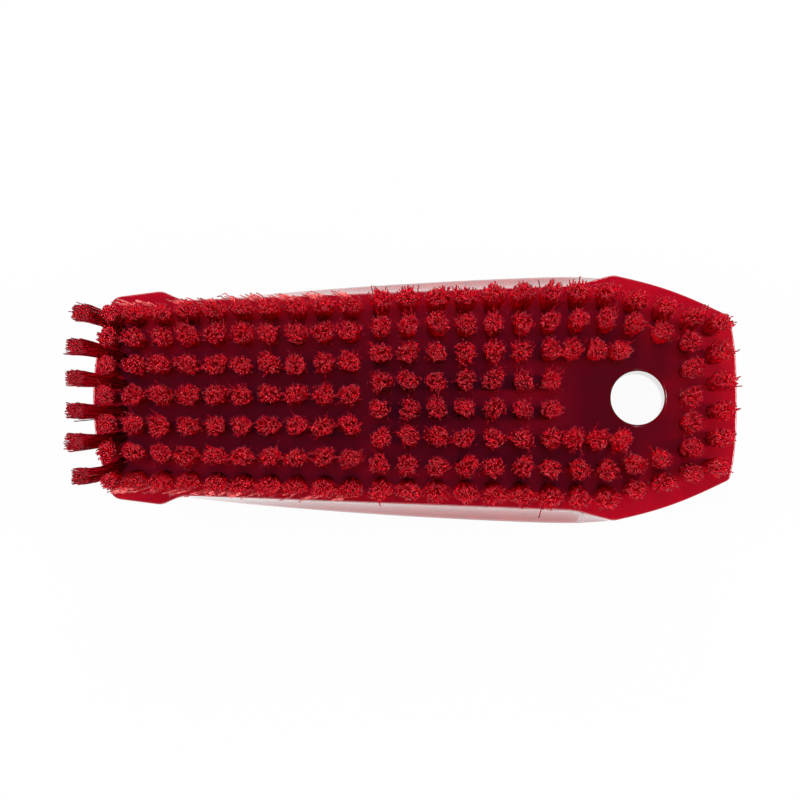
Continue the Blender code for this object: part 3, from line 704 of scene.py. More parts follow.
    def close_tip_xs(self):
        """Tips of the closer columns of the two rows that pass the hole."""
        return evenly(self.short_tip_xs()[-1], self.hole_x - ROW_END_BEFORE_HOLE, CLOSE_PITCH)[1:]

    def loop_root_xs(self):
        """Roots beside the hanging hole, from the last rear column to the column behind it."""
        start = self.rear_tip_xs()[-1] * FAN_ALONG_share
        return evenly(start, self.heel_x - INNER_HEEL_SETBACK, self.tufts.pitch)[1:]

    def field_tuft(self, tip_x, share):
        """A tuft in a row that stands at a share of the field's half width."""
        root_x = tip_x * FAN_ALONG_share
        root = Vector((root_x, self.row_root_y(root_x, share), self.face_z))
        return root, Vector((tip_x, share * self.tip_half_field(tip_x), self.tip_z))

    def first_column_tuft(self, share):
        """A tuft of the first column, which bows with the nose edge."""
        root_x = self.nose_x + FIRST_COLUMN_SETBACK + FIRST_COLUMN_BOW * share**2
        tip_x = self.first_tip_x() + FIRST_TIP_BOW * share**2
        root = Vector((root_x, share * self.root_half_field(root_x), self.face_z))
        return root, Vector((tip_x, share * self.tip_half_field(tip_x), self.tip_z))

    def forward_tuft(self, pair):
        """A forward tuft of the nose, between two rows. The outer pair reaches less far."""
        share = (pair + 1 / 2) / NOSE_TUFT_PAIRS
        root_x = self.nose_x + NOSE_ROOT_SETBACK
        root = Vector((root_x, share * self.root_half_field(root_x), self.face_z))
        tip_x = NOSE_TIP_REACH - OVERALL_LENGTH / 2
        if pair == NOSE_TUFT_PAIRS - 1:
            tip_x += NOSE_OUTER_TIP_BACK
        tip_y = root.y * NOSE_TIP_FAN_shares[pair]
        return root, Vector((tip_x, tip_y, self.face_z + NOSE_TUFT_HEIGHT))

    def loop_tuft(self, root_x, inset, lean):
        """A tuft of a loop beside the hanging hole, at a fixed inset from the heel side."""
        root = Vector((root_x, self.heel_half_width(root_x) - inset, self.face_z))
        return root, Vector((root_x + lean / 2, root.y + lean, self.tip_z))

    def heel_column(self, setback, inset, lean, fan_share):
        """Tufts behind the hanging hole, in a column that bows with the heel edge."""
        half = self.heel_half_width(self.heel_x - setback) - inset
        tufts = []
        for y in evenly(-half, half, self.tufts.pitch):
            root = Vector((self.heel_edge_x(y) - setback, y, self.face_z))
            tufts.append((root, Vector((root.x + lean, y * fan_share, self.tip_z))))
        return tufts

    def nose_rows(self):
        """The first column and the forward tufts, by the name of their CAD node."""
        tufts = [self.first_column_tuft(0)]
        for share in (*FRONT_ROW_shares, 1):
            tufts += both_sides(self.first_column_tuft(share))
        for pair in range(NOSE_TUFT_PAIRS):
            tufts += both_sides(self.forward_tuft(pair))
        return {"nose_tufts": tufts}

    def front_rows(self):
        """The straight rows behind the nose, by the names of their CAD nodes."""
        rows = {"front_row_middle": [self.field_tuft(x, 0) for x in self.front_tip_xs()]}
        for share, word in zip((*FRONT_ROW_shares, 1), ("inner", "outer", "edge")):
            tufts = [self.field_tuft(x, share) for x in self.front_tip_xs()]
            rows.update(handed(f"front_row_{word}", tufts))
        return rows

    def rear_rows(self):
        """The rear rows, the outer ones past the hanging hole, by the names of their CAD nodes."""
        inner, middle, outer = REAR_ROW_shares
        short = self.short_tip_xs()
        long = self.rear_tip_xs()
        loop_xs = self.loop_root_xs()
        inner_loop = [self.loop_tuft(x, INNER_LOOP_INSET, INNER_LOOP_LEAN) for x in loop_xs[:-1]]
        outer_loop = [self.loop_tuft(x, OUTER_LOOP_INSET, LOOP_LEAN) for x in loop_xs]
        rows = handed("rear_row_inner", [self.field_tuft(x, inner) for x in short])
        near = [self.field_tuft(x, middle) for x in short + self.close_tip_xs()]
        rows.update(handed("rear_row_middle", near))
        passing = [self.field_tuft(x, outer) for x in long]
        rows.update(handed("rear_row_outer", passing + inner_loop))
        edge = [self.field_tuft(x, 1) for x in long]
        rows.update(handed("rear_row_edge", edge + outer_loop))
        return rows

    def heel_rows(self):
        """The two columns behind the hanging hole, by the names of their CAD nodes."""
        inner = self.heel_column(INNER_HEEL_SETBACK, INNER_HEEL_INSET, INNER_LOOP_LEAN,
                                 INNER_HEEL_FAN_share)
        outer = self.heel_column(OUTER_HEEL_SETBACK, OUTER_HEEL_INSET, HEEL_LEAN,
                                 OUTER_HEEL_FAN_share)
        return {"heel_inner_tufts": inner, "heel_outer_tufts": outer}

    def all_tufts(self):
        """Every tuft of the brush."""
        rows = {**self.nose_rows(), **self.front_rows(), **self.rear_rows(), **self.heel_rows()}
        return [tuft for tufts in rows.values() for tuft in tufts]


def mirrored(tuft, side):
    """The same tuft on one side of the centre plane or the other."""
    return [Vector((point.x, side * point.y, point.z)) for point in tuft]


def both_sides(tuft):
    """A tuft and its mirror image."""
    return [mirrored(tuft, 1), mirrored(tuft, -1)]


def handed(name, tufts):
    """A left and a right row."""
    return {f"{name}_{hand}": [mirrored(tuft, side) for tuft in tufts]
            for hand, side in (("left", 1), ("right", -1))}


# Modelling


def choose(obj):
    """Select one object alone and make it active."""
    bpy.ops.object.select_all(action="DESELECT")
    obj.select_set(True)
    bpy.context.view_layer.objects.active = obj


def finish_with(obj, kind, **settings):
    """Add a modifier to an object and apply it."""
    choose(obj)
    bpy.ops.object.modifier_add(type=kind)
    modifier = obj.modifiers[-1]
    for name, value in settings.items():
        setattr(modifier, name, value)
    bpy.ops.object.modifier_apply(modifier=modifier.name)


def sort_form(mesh):
    """Put points, edges and faces in the order of the rings, which extruding leaves to chance."""
    order = mesh.verts.layers.int["ring_order"]
    total = len(mesh.verts)

    def place(element):
        corners = [vertex[order] for vertex in element.verts]
        return min(corners) * total + max(corners)

    mesh.verts.sort(key=lambda vertex: vertex[order])
    mesh.edges.sort(key=place)
    mesh.faces.sort(key=place)


def extruded_form(name, rings):
    """A closed form: a circle that is moved onto the first ring and extruded from ring to ring."""
    sides = len(rings[0])
    bpy.ops.object.select_all(action="DESELECT")
    bpy.ops.mesh.primitive_circle_add(vertices=sides, radius=1, fill_type="NGON",
                                      location=(0, 0, 0))
    obj = bpy.context.object
    obj.name = name
    obj.data.name = name
    bpy.ops.object.mode_set(mode="EDIT")
    mesh = bmesh.from_edit_mesh(obj.data)
    order = mesh.verts.layers.int.new("ring_order")
    mesh.verts.ensure_lookup_table()
    for index, vertex in enumerate(mesh.verts):
        vertex[order] = index
        vertex.co = rings[0][index]
    bmesh.update_edit_mesh(obj.data)
    for ring in rings[1:]:
        bpy.ops.mesh.extrude_region_move(TRANSFORM_OT_translate={"value": (0, 0, 0)})
        mesh = bmesh.from_edit_mesh(obj.data)
        order = mesh.verts.layers.int["ring_order"]
        for vertex in mesh.verts:
            if vertex.select:
                vertex.co = ring[vertex[order] % sides]
                vertex[order] += sides
        bmesh.update_edit_mesh(obj.data)
    sort_form(mesh)
    bmesh.update_edit_mesh(obj.data)
    bpy.ops.mesh.select_all(action="SELECT")
    bpy.ops.mesh.normals_make_consistent(inside=False)
    bpy.ops.object.mode_set(mode="OBJECT")
    obj.data.attributes.remove(obj.data.attributes["ring_order"])
    return obj


def level_ring(radius, height, sides, turn=0.0):
    """A level circle of points round the z axis."""
    angles = [turn + 2 * math.pi * side / sides for side in range(sides)]
    return [Vector((radius * math.cos(a), radius * math.sin(a), height)) for a in angles]


def round_rim(radius, rim, height):
    """(radius, height) pairs of a hole's rounded rim, from outside the face into the bore."""
    pairs = [(radius + rim, height + CUT_OVERRUN)]
    for step in range(RIM_STEPS + 1):
        angle = math.pi / 2 * step / RIM_STEPS
        pairs.append((radius + rim * (1 - math.sin(angle)), height - rim * (1 - math.cos(angle))))
    return pairs


def subtract(obj, cutter):
    """Cut one form out of another, and take the cutter away."""
    before = len(obj.data.polygons)
    finish_with(obj, "BOOLEAN", operation="DIFFERENCE", solver="EXACT", object=cutter)
    if len(obj.data.polygons) <= before:
        raise RuntimeError(f"{cutter.name} took nothing out of {obj.name}")
    bpy.data.objects.remove(cutter, do_unlink=True)


def bore_hanging_hole(obj, plan):
    """The hanging hole, with a rounded rim on the level face and on the sloping back."""
    radius = plan.block.hole_diameter / 2
    rim = plan.block.hole_rim
    pairs = round_rim(radius, rim, plan.face_z) + [(radius, -CUT_OVERRUN)]
    bore = extruded_form("hanging_hole_bore", [level_ring(r, z, HOLE_SIDES) for r, z in pairs])
    bore.data.transform(Matrix.Translation((plan.hole_x, 0, 0)))
    subtract(obj, bore)
    rise = plan.back_height(plan.hole_x + radius) - plan.back_height(plan.hole_x - radius)
    slope = math.atan2(rise, 2 * radius)
    pairs = round_rim(radius, rim, 0) + [(radius - rim, -2 * rim)]
    flare = extruded_form("hanging_hole_flare",
                          [level_ring(r, z, HOLE_SIDES, math.pi / HOLE_SIDES) for r, z in pairs])
    seat = Matrix.Translation((plan.hole_x, 0, plan.back_height(plan.hole_x)))
    flare.data.transform(seat @ Matrix.Rotation(math.pi - slope, 4, "Y"))
    subtract(obj, flare)


def tuft_drill(radius):
    """The drill for one size of tuft hole, with a small countersink, its shoulder at z = 0."""
    pairs = ((radius + COUNTERSINK, CUT_OVERRUN), (radius + COUNTERSINK, 0),
             (radius, -COUNTERSINK), (radius, -DRILL_DEPTH))
    return extruded_form("drill", [level_ring(r, z, DRILL_SIDES) for r, z in pairs])


def drill_tuft_holes(obj, plan):
    """One drilled hole for every tuft, leaning with it. A drill is modelled once and copied."""
    copies = []
    nose_tufts = plan.nose_rows()["nose_tufts"]
    for radius, tufts in ((plan.tufts.nose_root_radius, nose_tufts),
                          (plan.tufts.root_radius, plan.all_tufts()[len(nose_tufts):])):
        drill = tuft_drill(radius + DRILL_CLEARANCE)
        for root, tip in tufts:
            lean = (tip - root) / (tip.z - root.z)
            copy = drill.copy()
            copy.data = drill.data.copy()
            copy.data.transform(Matrix(((1, 0, lean.x, root.x), (0, 1, lean.y, root.y),
                                        (0, 0, 1, root.z), (0, 0, 0, 1))))
            bpy.context.collection.objects.link(copy)
            copies.append(copy)
        bpy.data.objects.remove(drill, do_unlink=True)
    choose(copies[0])
    for copy in copies:
        copy.select_set(True)
    bpy.ops.object.join()
    subtract(obj, copies[0])


def smooth_form(obj, angle):
    """Smooth shading up to an angle, with the large faces kept flat."""
    choose(obj)
    bpy.ops.object.shade_smooth_by_angle(angle=angle)
    finish_with(obj, "WEIGHTED_NORMAL", keep_sharp=True)


# Filaments


def lowest_first(corners):
    """The corners of a face in the same turn, from the lowest one on."""
    start = corners.index(min(corners))
    return corners[start:] + corners[:start]


def filament_shape(diameter):
    """Points and faces of one upright filament: its height is 1, its sides are to size."""
    radius = diameter / 2
    rings = [level_ring(radius, share, FILAMENT_SIDES) for share in FILAMENT_STATION_shares]
    obj = extruded_form("filament", rings)
    points = np.array([vertex.co for vertex in obj.data.vertices])
    faces = [lowest_first(list(polygon.vertices)) for polygon in obj.data.polygons]
    bpy.data.objects.remove(obj, do_unlink=True)
    return points, faces


class TuftForm:
    """How a kind of tuft opens from its root to its cut ends.

    stretch draws it out along the brush, square squares its outline, loose scales all that is left
    to chance, and strays is the share of filaments that stick out. opening is how far the bundle
    has opened at its bend, bow carries the bend over to the tips, and shift moves the ends
    outwards. The painted shade runs from root to tip, where 1 is the full colour and less is
    painted shade, and worn is the share of the outermost filaments that are worn.
    """

    def __init__(self, root_radius, tip_radius, stretch=1.0, square=0.0, loose=1.0, strays=0.06,
                 opening=0.3, bow=0.0, shift=0.0, painted_shade_tones=(1.0, 1.0), worn=0.0):
        self.root_radius = root_radius
        self.tip_radius = tip_radius
        self.stretch = stretch
        self.square = square
        self.loose = loose
        self.strays = strays
        self.opening = opening
        self.bow = bow
        self.shift = shift
        self.painted_shade_tones = painted_shade_tones
        self.worn = worn


def filament_disc(rng, count):
    """Places of the filaments on a disc of radius 1, laid out on a spiral, and their angles."""
    reach = np.sqrt((np.arange(count) + 0.5) / count)
    angle = np.arange(count) * GOLDEN_ANGLE + rng.uniform(0, 2 * math.pi)
    disc = np.stack([np.cos(angle), np.sin(angle)], axis=1) * reach[:, None]
    return disc + rng.normal(0, DISC_SCATTER_share, disc.shape), angle


def cut_ends(rng, disc, angle, form):
    """Where the cut ends lie about the middle of the tips, and which of them are strays."""
    loose = form.loose
    # Squared or lobed outline
    squared = 1 / np.max(np.abs(np.stack([np.cos(angle), np.sin(angle)])), axis=0)
    opened = disc * between(1, squared, form.square)[:, None]
    lobes = 1 + loose * TWO_LOBES_share * np.sin(angle * 2 + rng.uniform(0, LOBE_TURN))
    lobes += loose * THREE_LOBES_share * np.sin(angle * 3 + rng.uniform(0, LOBE_TURN))
    opened *= lobes[:, None]
    # A parting over the anchor that the filaments are folded round
    fold = rng.normal(math.pi / 2, PARTING_TURN)
    across = np.array([math.cos(fold), math.sin(fold)])
    opened += np.sign(disc @ across)[:, None] * across * loose * rng.uniform(0, PARTING_share)
    ends = opened * form.tip_radius * rng.uniform(*SIZE_SPREAD_shares)
    ends *= np.array([form.stretch, 1 / form.stretch])
    ends += rng.normal(0, END_SCATTER * loose, ends.shape)
    stray = rng.random(len(disc)) < form.strays
    ends[stray] *= rng.uniform(*STRAY_REACH_shares, (int(stray.sum()), 1))
    ends += rng.normal(0, TUFT_DRIFT * loose, 2)
    return ends, stray


def tuft_courses(rng, tuft, plan, form):
    """Start, bend and end of every filament in a tuft, and which ones are worn."""
    root, tip = (np.array(point) for point in tuft)
    count = int(round(plan.tufts.filaments * rng.uniform(*COUNT_SPREAD_shares)))
    disc, angle = filament_disc(rng, count)
    ends, stray = cut_ends(rng, disc, angle, form)
    outward = math.copysign(1, tip[1])
    outermost = ends[:, 1] * outward > OUTERMOST_share * form.tip_radius
    worn = outermost & (rng.random(count) < form.worn)
    ends[~stray] += np.array([0, outward * form.shift])
    starts = disc * form.root_radius
    opening = form.opening + rng.uniform(-OPENING_SPREAD_share, OPENING_SPREAD_share, (count, 1))
    bends = starts + (ends - starts) * opening
    bends += rng.normal(0, BEND_SCATTER * form.loose, bends.shape)
    # Worn filaments stand straight for most of their length and are swept aside near their ends
    bends[worn] = ends[worn]
    sweep = np.array([WORN_SWEEP[0], WORN_SWEEP[1] * outward])
    ends[worn] += sweep * rng.uniform(*WORN_SWEEP_shares, (int(worn.sum()), 1))
    # Heights: the starts are sunk in the hole, and the cut is uneven and a little tilted
    axis = (tip - root) / (tip[2] - root[2])
    start_z = root[2] - FILAMENT_SINK
    tilt = rng.normal(0, CUT_TILT, 2)
    uneven = np.abs(rng.normal(0, plan.tufts.unevenness, count))
    end_z = tip[2] - uneven - np.abs(ends @ tilt)
    middle_z = between(start_z, end_z, np.where(worn, WORN_BEND_share, BEND_share))
    start = root + axis * (start_z - root[2])
    middle = root + axis * (middle_z - root[2])[:, None]
    middle[:, 1] += (tip[1] - root[1]) * form.bow
    return (
        np.column_stack([starts + start[:2], np.full(count, start_z)]),
        np.column_stack([bends + middle[:, :2], middle_z]),
        np.column_stack([ends + tip[:2], end_z]),
        worn,
    )


def nose_forms(tufts, plan):
    """Forms of the nose tufts: forward ones squared and tight, the corners of the column small."""
    root_radius = plan.tufts.nose_root_radius
    tip_radius = plan.tufts.tip_radius
    forward = TuftForm(root_radius, plan.tufts.nose_tip_radius, square=1.0, loose=0.12,
                       strays=0.02, bow=0.5, painted_shade_tones=FORWARD_PAINTED_SHADE)
    first = TuftForm(root_radius, tip_radius * FIRST_TIP_share, loose=0.8, painted_shade_tones=OUTER_PAINTED_SHADE)
    forms = []
    for _, tip in tufts:
        form = forward if tip.z < plan.tip_z else first
        if form is first and abs(tip.y) > CORNER_FIELD_share * plan.tip_half_field(tip.x):
            hand = "left" if tip.y > 0 else "right"
            form = TuftForm(root_radius, tip_radius * CORNER_TIP_share, loose=0.5, strays=0,
                            shift=EDGE_SHIFTS.get(f"front_row_edge_{hand}", 0.0),
                            painted_shade_tones=OUTER_PAINTED_SHADE)
        forms.append(form)
    return forms


def row_form(node, plan):
    """The form of the tufts in a row behind the nose, which are drawn out more at the edges."""
    root_radius = plan.tufts.root_radius
    tip_radius = plan.tufts.tip_radius
    shift = EDGE_SHIFTS.get(node, 0.0)
    if node.startswith("front_row_edge"):
        form = TuftForm(root_radius, tip_radius, stretch=1.32, loose=0.7, strays=0, opening=0.85,
                        shift=shift, worn=0.34)
    elif "edge" in node or node == "heel_outer_tufts":
        form = TuftForm(root_radius, tip_radius, stretch=1.2, strays=0.04, opening=0.6,
                        shift=shift)
    elif node.startswith("front_row"):
        form = TuftForm(root_radius, tip_radius * FRONT_TIP_share, stretch=1.12)
    else:
        form = TuftForm(root_radius, tip_radius, stretch=1.05)
    # Painted shade: the edge, heel and inner rear rows are darkened, most towards their roots
    if "edge" in node or node.startswith(("heel", "rear_row_inner")):
        form.painted_shade_tones = OUTER_PAINTED_SHADE
    return form


def tuft_forms(node, tufts, plan):
    """The form of each tuft in a row."""
    if node == "nose_tufts":
        return nose_forms(tufts, plan)
    return [row_form(node, plan)] * len(tufts)


def rising(shares, start):
    """0 up to a start, then rising to 1 at the end."""
    return np.clip((shares - start) / (1 - start), 0, 1)


def bent_filaments(rng, start, bend, end, shape, wave):
    """Points of the filaments in a tuft: the upright one laid along each course, and waved."""
    count = len(start)
    heights = shape[:, 2]
    share = heights[None, :, None]
    course = (1 - share) ** 2 * start[:, None] + 2 * share * (1 - share) * bend[:, None]
    course = course + share**2 * end[:, None]
    phase = rng.uniform(0, 2 * math.pi, (count, 1))
    swing = rising(heights, WAVE_START_share)
    swing = swing * np.sin(phase + 2 * math.pi * WAVE_TURNS * heights)
    swing *= wave * rng.uniform(*WAVE_SPREAD_shares, (count, 1))
    facing = rng.uniform(0, 2 * math.pi, (count, 1))
    course[..., 0] += swing * np.cos(facing)
    course[..., 1] += swing * np.sin(facing)
    turn = rng.uniform(0, 2 * math.pi, (count, 1))
    course[..., 0] += shape[:, 0] * np.cos(turn) - shape[:, 1] * np.sin(turn)
    course[..., 1] += shape[:, 0] * np.sin(turn) + shape[:, 1] * np.cos(turn)
    return course.reshape(-1, 3)


def set_row(name, tufts, forms, plan, material, seed):
    """One row of tufts as a mesh of filaments, in place of its CAD node."""
    rng = np.random.default_rng(seed)
    shape, shape_faces = filament_shape(plan.tufts.diameter)
    heights = shape[:, 2]
    points = []
    shades = []
    painted_shade_tones = []
    wears = []
    for tuft, form in zip(tufts, forms):
        start, bend, end, worn = tuft_courses(rng, tuft, plan, form)
        count = len(start)
        wave = plan.tufts.wave * math.sqrt(form.loose)
        points.append(bent_filaments(rng, start, bend, end, shape, wave))
        shades.append(np.repeat(rng.random(count), len(heights)))
        # Painted shade: each point's share of the full colour, less towards the root
        painted_shade_tones.append(np.tile(between(*form.painted_shade_tones, heights**2), count))
        wear = worn * rng.uniform(*WEAR_SPREAD_shares, count)
        wears.append(np.outer(wear, rising(heights, WEAR_START_share)).reshape(-1))
    points = np.clip(np.concatenate(points), *np.array(CAD_BOX))
    number = len(points) // len(heights)
    faces = [[vertex + copy * len(heights) for vertex in face]
             for copy in range(number) for face in shape_faces]
    mesh = bpy.data.meshes.new(name)
    mesh.from_pydata(points.tolist(), [], faces)
    along = np.clip((points[:, 2] - plan.face_z) / (plan.tip_z - plan.face_z), 0, 1)
    cut = np.tile(heights == heights.max(), number).astype(float)
    for word, values in (("along", along), ("cut_end", cut), ("shade", np.concatenate(shades)),
                         ("painted_shade_tone", np.concatenate(painted_shade_tones)), ("wear", np.concatenate(wears))):
        attribute = mesh.attributes.new(word, "FLOAT", "POINT")
        attribute.data.foreach_set("value", values.astype(np.float32))
    mesh.validate()
    obj = bpy.data.objects.new(name, mesh)
    bpy.context.collection.objects.link(obj)
    choose(obj)
    bpy.ops.object.shade_smooth_by_angle(angle=FILAMENT_SMOOTH_ANGLE)
    mesh.materials.append(material)
    return obj


# Materials


class Shading:
    """The node tree of a material or a world, with short calls that add nodes to it."""

    def __init__(self, owner, shader="Principled BSDF"):
        owner.use_nodes = True
        self.owner = owner
        self.tree = owner.node_tree
        self.shader = self.tree.nodes[shader]
        self.count = 0

    def node(self, kind, **inputs):
        """A node with some of its sockets set or linked."""
        node = self.tree.nodes.new(kind)
        self.count += 1
        row, column = divmod(self.count, NODE_COLUMNS)
        node.location = (-NODE_SPACING * (1 + column), -NODE_SPACING * row)
        for name, value in inputs.items():
            self.feed(node.inputs[name.replace("_", " ")], value)
        return node

    def feed(self, socket, value):
        """Link an output to a socket, or set the socket's value."""
        if isinstance(value, bpy.types.NodeSocket):
            self.tree.links.new(value, socket)
        else:
            socket.default_value = value

    def object_place(self):
        """The Object coordinates."""
        return self.node("ShaderNodeTexCoord").outputs["Object"]

    def attribute(self, name):
        """The value of a point attribute."""
        node = self.node("ShaderNodeAttribute")
        node.attribute_name = name
        return node.outputs["Fac"]

    def noise(self, scale, detail, roughness=0.5):
        """A noise value on Object coordinates."""
        node = self.node("ShaderNodeTexNoise", Vector=self.object_place(), Scale=scale,
                         Detail=detail, Roughness=roughness)
        return node.outputs["Fac"]

    def ranged(self, value, low, high, from_low=0.0, from_high=1.0):
        """A value mapped from one range to another."""
        node = self.node("ShaderNodeMapRange")
        for name, number in (("From Min", from_low), ("From Max", from_high),
                             ("To Min", low), ("To Max", high)):
            node.inputs[name].default_value = number
        self.feed(node.inputs["Value"], value)
        return node.outputs["Result"]

    def blend(self, factor, first, second):
        """A mix of two colours."""
        node = self.node("ShaderNodeMix")
        node.data_type = "RGBA"
        self.feed(node.inputs[0], factor)
        self.feed(node.inputs[6], first)
        self.feed(node.inputs[7], second)
        return node.outputs[2]

    def combine(self, operation, first, second):
        """Two values in one, such as their product."""
        node = self.node("ShaderNodeMath")
        node.operation = operation
        self.feed(node.inputs[0], first)
        self.feed(node.inputs[1], second)
        return node.outputs[0]

    def finish(self, colour, roughness, height=None, strength=0.0, distance=0.0):
        """Colour, roughness and bump into the shader."""
        self.feed(self.shader.inputs["Base Color"], colour)
        self.feed(self.shader.inputs["Roughness"], roughness)
        if height is not None:
            bump = self.node("ShaderNodeBump", Strength=strength, Distance=distance, Height=height)
            self.feed(self.shader.inputs["Normal"], bump.outputs["Normal"])
        return self.owner


def tinted(colour, factor=1.0):
    """A colour made darker or lighter, with its alpha."""
    return (*[min(channel * factor, 1.0) for channel in colour], 1.0)


def new_material(name):
    """The shading of a new material."""
    return Shading(bpy.data.materials.new(name))


def moulded_plastic(settings):
    """Glossy red moulded plastic: faint flow marks, a fine moulded skin, uneven gloss."""
    shading = new_material("moulded_plastic")
    flow = shading.ranged(shading.noise(FLOW_SCALE, 3.0), 0, 1, *FLOW_RANGE)
    colour = shading.blend(flow, *[tinted(settings.colour, tint) for tint in FLOW_TINTS])
    low, high = (settings.roughness + change for change in GLOSS_CHANGES)
    gloss = shading.ranged(shading.noise(GLOSS_SCALE, 4.0), low, high, *NOISE_RANGE)
    skin = shading.noise(SKIN_SCALE, 2.0)
    shader = shading.shader
    shader.subsurface_method = "BURLEY"
    shader.inputs["Subsurface Weight"].default_value = settings.glow
    shader.inputs["Subsurface Radius"].default_value = BLOCK_GLOW_COLOUR
    shader.inputs["Subsurface Scale"].default_value = settings.glow_depth
    shader.inputs["Coat Weight"].default_value = settings.coat
    shader.inputs["Coat Roughness"].default_value = COAT_ROUGHNESS
    return shading.finish(colour, gloss, skin, SKIN_STRENGTH, SKIN_HEIGHT)


def filament_plastic(settings):
    """Red filaments: a shaft painted brighter as a painted glow, a deeper tip, cut ends paler with
    their own whitening and a painted highlight, painted shade in some tufts, and pale where worn.
    """
    shading = new_material("filament_plastic")
    along = shading.attribute("along")
    shade = shading.attribute("shade")
    grain = shading.ranged(shading.noise(GRAIN_SCALE, 2.0), *GRAIN_TINTS, *NOISE_RANGE)
    # Painted glow: the shaft colour near the block is brighter than the tip colour
    height = shading.ranged(along, 0, 1, TIP_COLOUR_START_share, 1)
    colour = shading.blend(height, tinted(settings.painted_glow_shaft_colour), tinted(settings.tip_colour))
    colour = shading.blend(shading.ranged(shade, 0.0, DARK_SHAFT_share), colour,
                           tinted(settings.painted_glow_shaft_colour, DARK_SHAFT_TINT))
    # Cut ends: their own whitening and a painted highlight
    pale = shading.ranged(shade, *WHITENED_AND_HIGHLIT_shares, *WHITENED_AND_HIGHLIT_SHADES)
    whitened_and_highlit = shading.combine("MULTIPLY", shading.attribute("cut_end"), pale)
    whitened_and_highlit = shading.combine("MULTIPLY", whitened_and_highlit, grain)
    colour = shading.blend(whitened_and_highlit, colour, tinted(settings.cut_whitening_and_highlight_colour))
    # Painted shade: the colour is darkened towards a shaded tint of the tip colour
    colour = shading.blend(shading.attribute("painted_shade_tone"), tinted(settings.tip_colour, SHADED_TINT),
                           colour)
    colour = shading.blend(shading.attribute("wear"), colour, tinted(settings.worn_colour))
    shader = shading.shader
    shader.subsurface_method = "BURLEY"
    shader.inputs["Subsurface Weight"].default_value = settings.translucency
    shader.inputs["Subsurface Radius"].default_value = FILAMENT_GLOW_COLOUR
    shader.inputs["Subsurface Scale"].default_value = settings.diameter * FILAMENT_GLOW_DIAMETERS
    shader.inputs["Specular IOR Level"].default_value = FILAMENT_SPECULAR
    return shading.finish(colour, shading.ranged(shade, *FILAMENT_ROUGHNESS))


def piece(obj, slot, *nodes):
    """Attach a finished piece to the root body and hide the CAD nodes that it stands in for; slot
    is not used.
    """
    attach(obj, "root")
    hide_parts(*nodes)


def set_rows(context, rows, first_seed):
    """Set rows of tufts in the block, each in place of the CAD node of its name."""
    plan = BrushPlan(context.scene)
    material = bpy.data.materials.get("filament_plastic") or filament_plastic(plan.tufts)
    for number, (node, tufts) in enumerate(rows(plan).items()):
        seed = (plan.tufts.seed, first_seed, number)
        forms = tuft_forms(node, tufts, plan)
        obj = set_row("filaments_" + node, tufts, forms, plan, material, seed)
        piece(obj, "bristle_red", node)


# Operators


class BRUSH_OT_mould_block(Operator):
    """Model the moulded block, bore its hanging hole and drill its tuft holes"""

    bl_idname = "brush.mould_block"
    bl_label = "Mould Block"

    def execute(self, context):
        plan = BrushPlan(context.scene)
        block = extruded_form("moulded_block", plan.block_rings())
        bore_hanging_hole(block, plan)
        drill_tuft_holes(block, plan)
        smooth_form(block, BLOCK_SMOOTH_ANGLE)
        block.data.materials.append(moulded_plastic(plan.block))
        piece(block, "block_red", "block")
        return {"FINISHED"}


class BRUSH_OT_set_nose_tufts(Operator):
    """Set the first column of tufts and the forward tufts of the nose"""

    bl_idname = "brush.set_nose_tufts"
    bl_label = "Set Nose Tufts"

    def execute(self, context):
        set_rows(context, BrushPlan.nose_rows, 1)
        return {"FINISHED"}


class BRUSH_OT_set_front_rows(Operator):
    """Set the straight rows of tufts behind the nose"""

    bl_idname = "brush.set_front_rows"
    bl_label = "Set Front Rows"

    def execute(self, context):
        set_rows(context, BrushPlan.front_rows, 2)
        return {"FINISHED"}


class BRUSH_OT_set_rear_rows(Operator):
    """Set the rear rows of tufts, up to and beside the hanging hole"""

    bl_idname = "brush.set_rear_rows"
    bl_label = "Set Rear Rows"

    def execute(self, context):
        set_rows(context, BrushPlan.rear_rows, 3)
        return {"FINISHED"}


class BRUSH_OT_set_heel_tufts(Operator):
    """Set the two columns of tufts behind the hanging hole"""

    bl_idname = "brush.set_heel_tufts"
    bl_label = "Set Heel Tufts"

    def execute(self, context):
        set_rows(context, BrushPlan.heel_rows, 4)
        return {"FINISHED"}


class BRUSH_OT_light_stage(Operator):
    """Lay the floor, hang the lamps and set up the camera"""

    bl_idname = "brush.light_stage"
    bl_label = "Light Stage"

    def execute(self, context):
        settings = context.scene.brush_stage
        lay_floor(settings)
        hang_lamps(settings)
        light_world(settings)
        place_camera(settings)
        context.scene.view_settings.view_transform = "Standard"
        return {"FINISHED"}


def seen_directly(shading):
    """1 for camera, glossy and transmission rays, 0 for the light that falls on the object."""
    path = shading.node("ShaderNodeLightPath")
    total = path.outputs["Is Camera Ray"]
    for name in ("Is Glossy Ray", "Is Transmission Ray"):
        total = shading.combine("MAXIMUM", total, path.outputs[name])
    return total


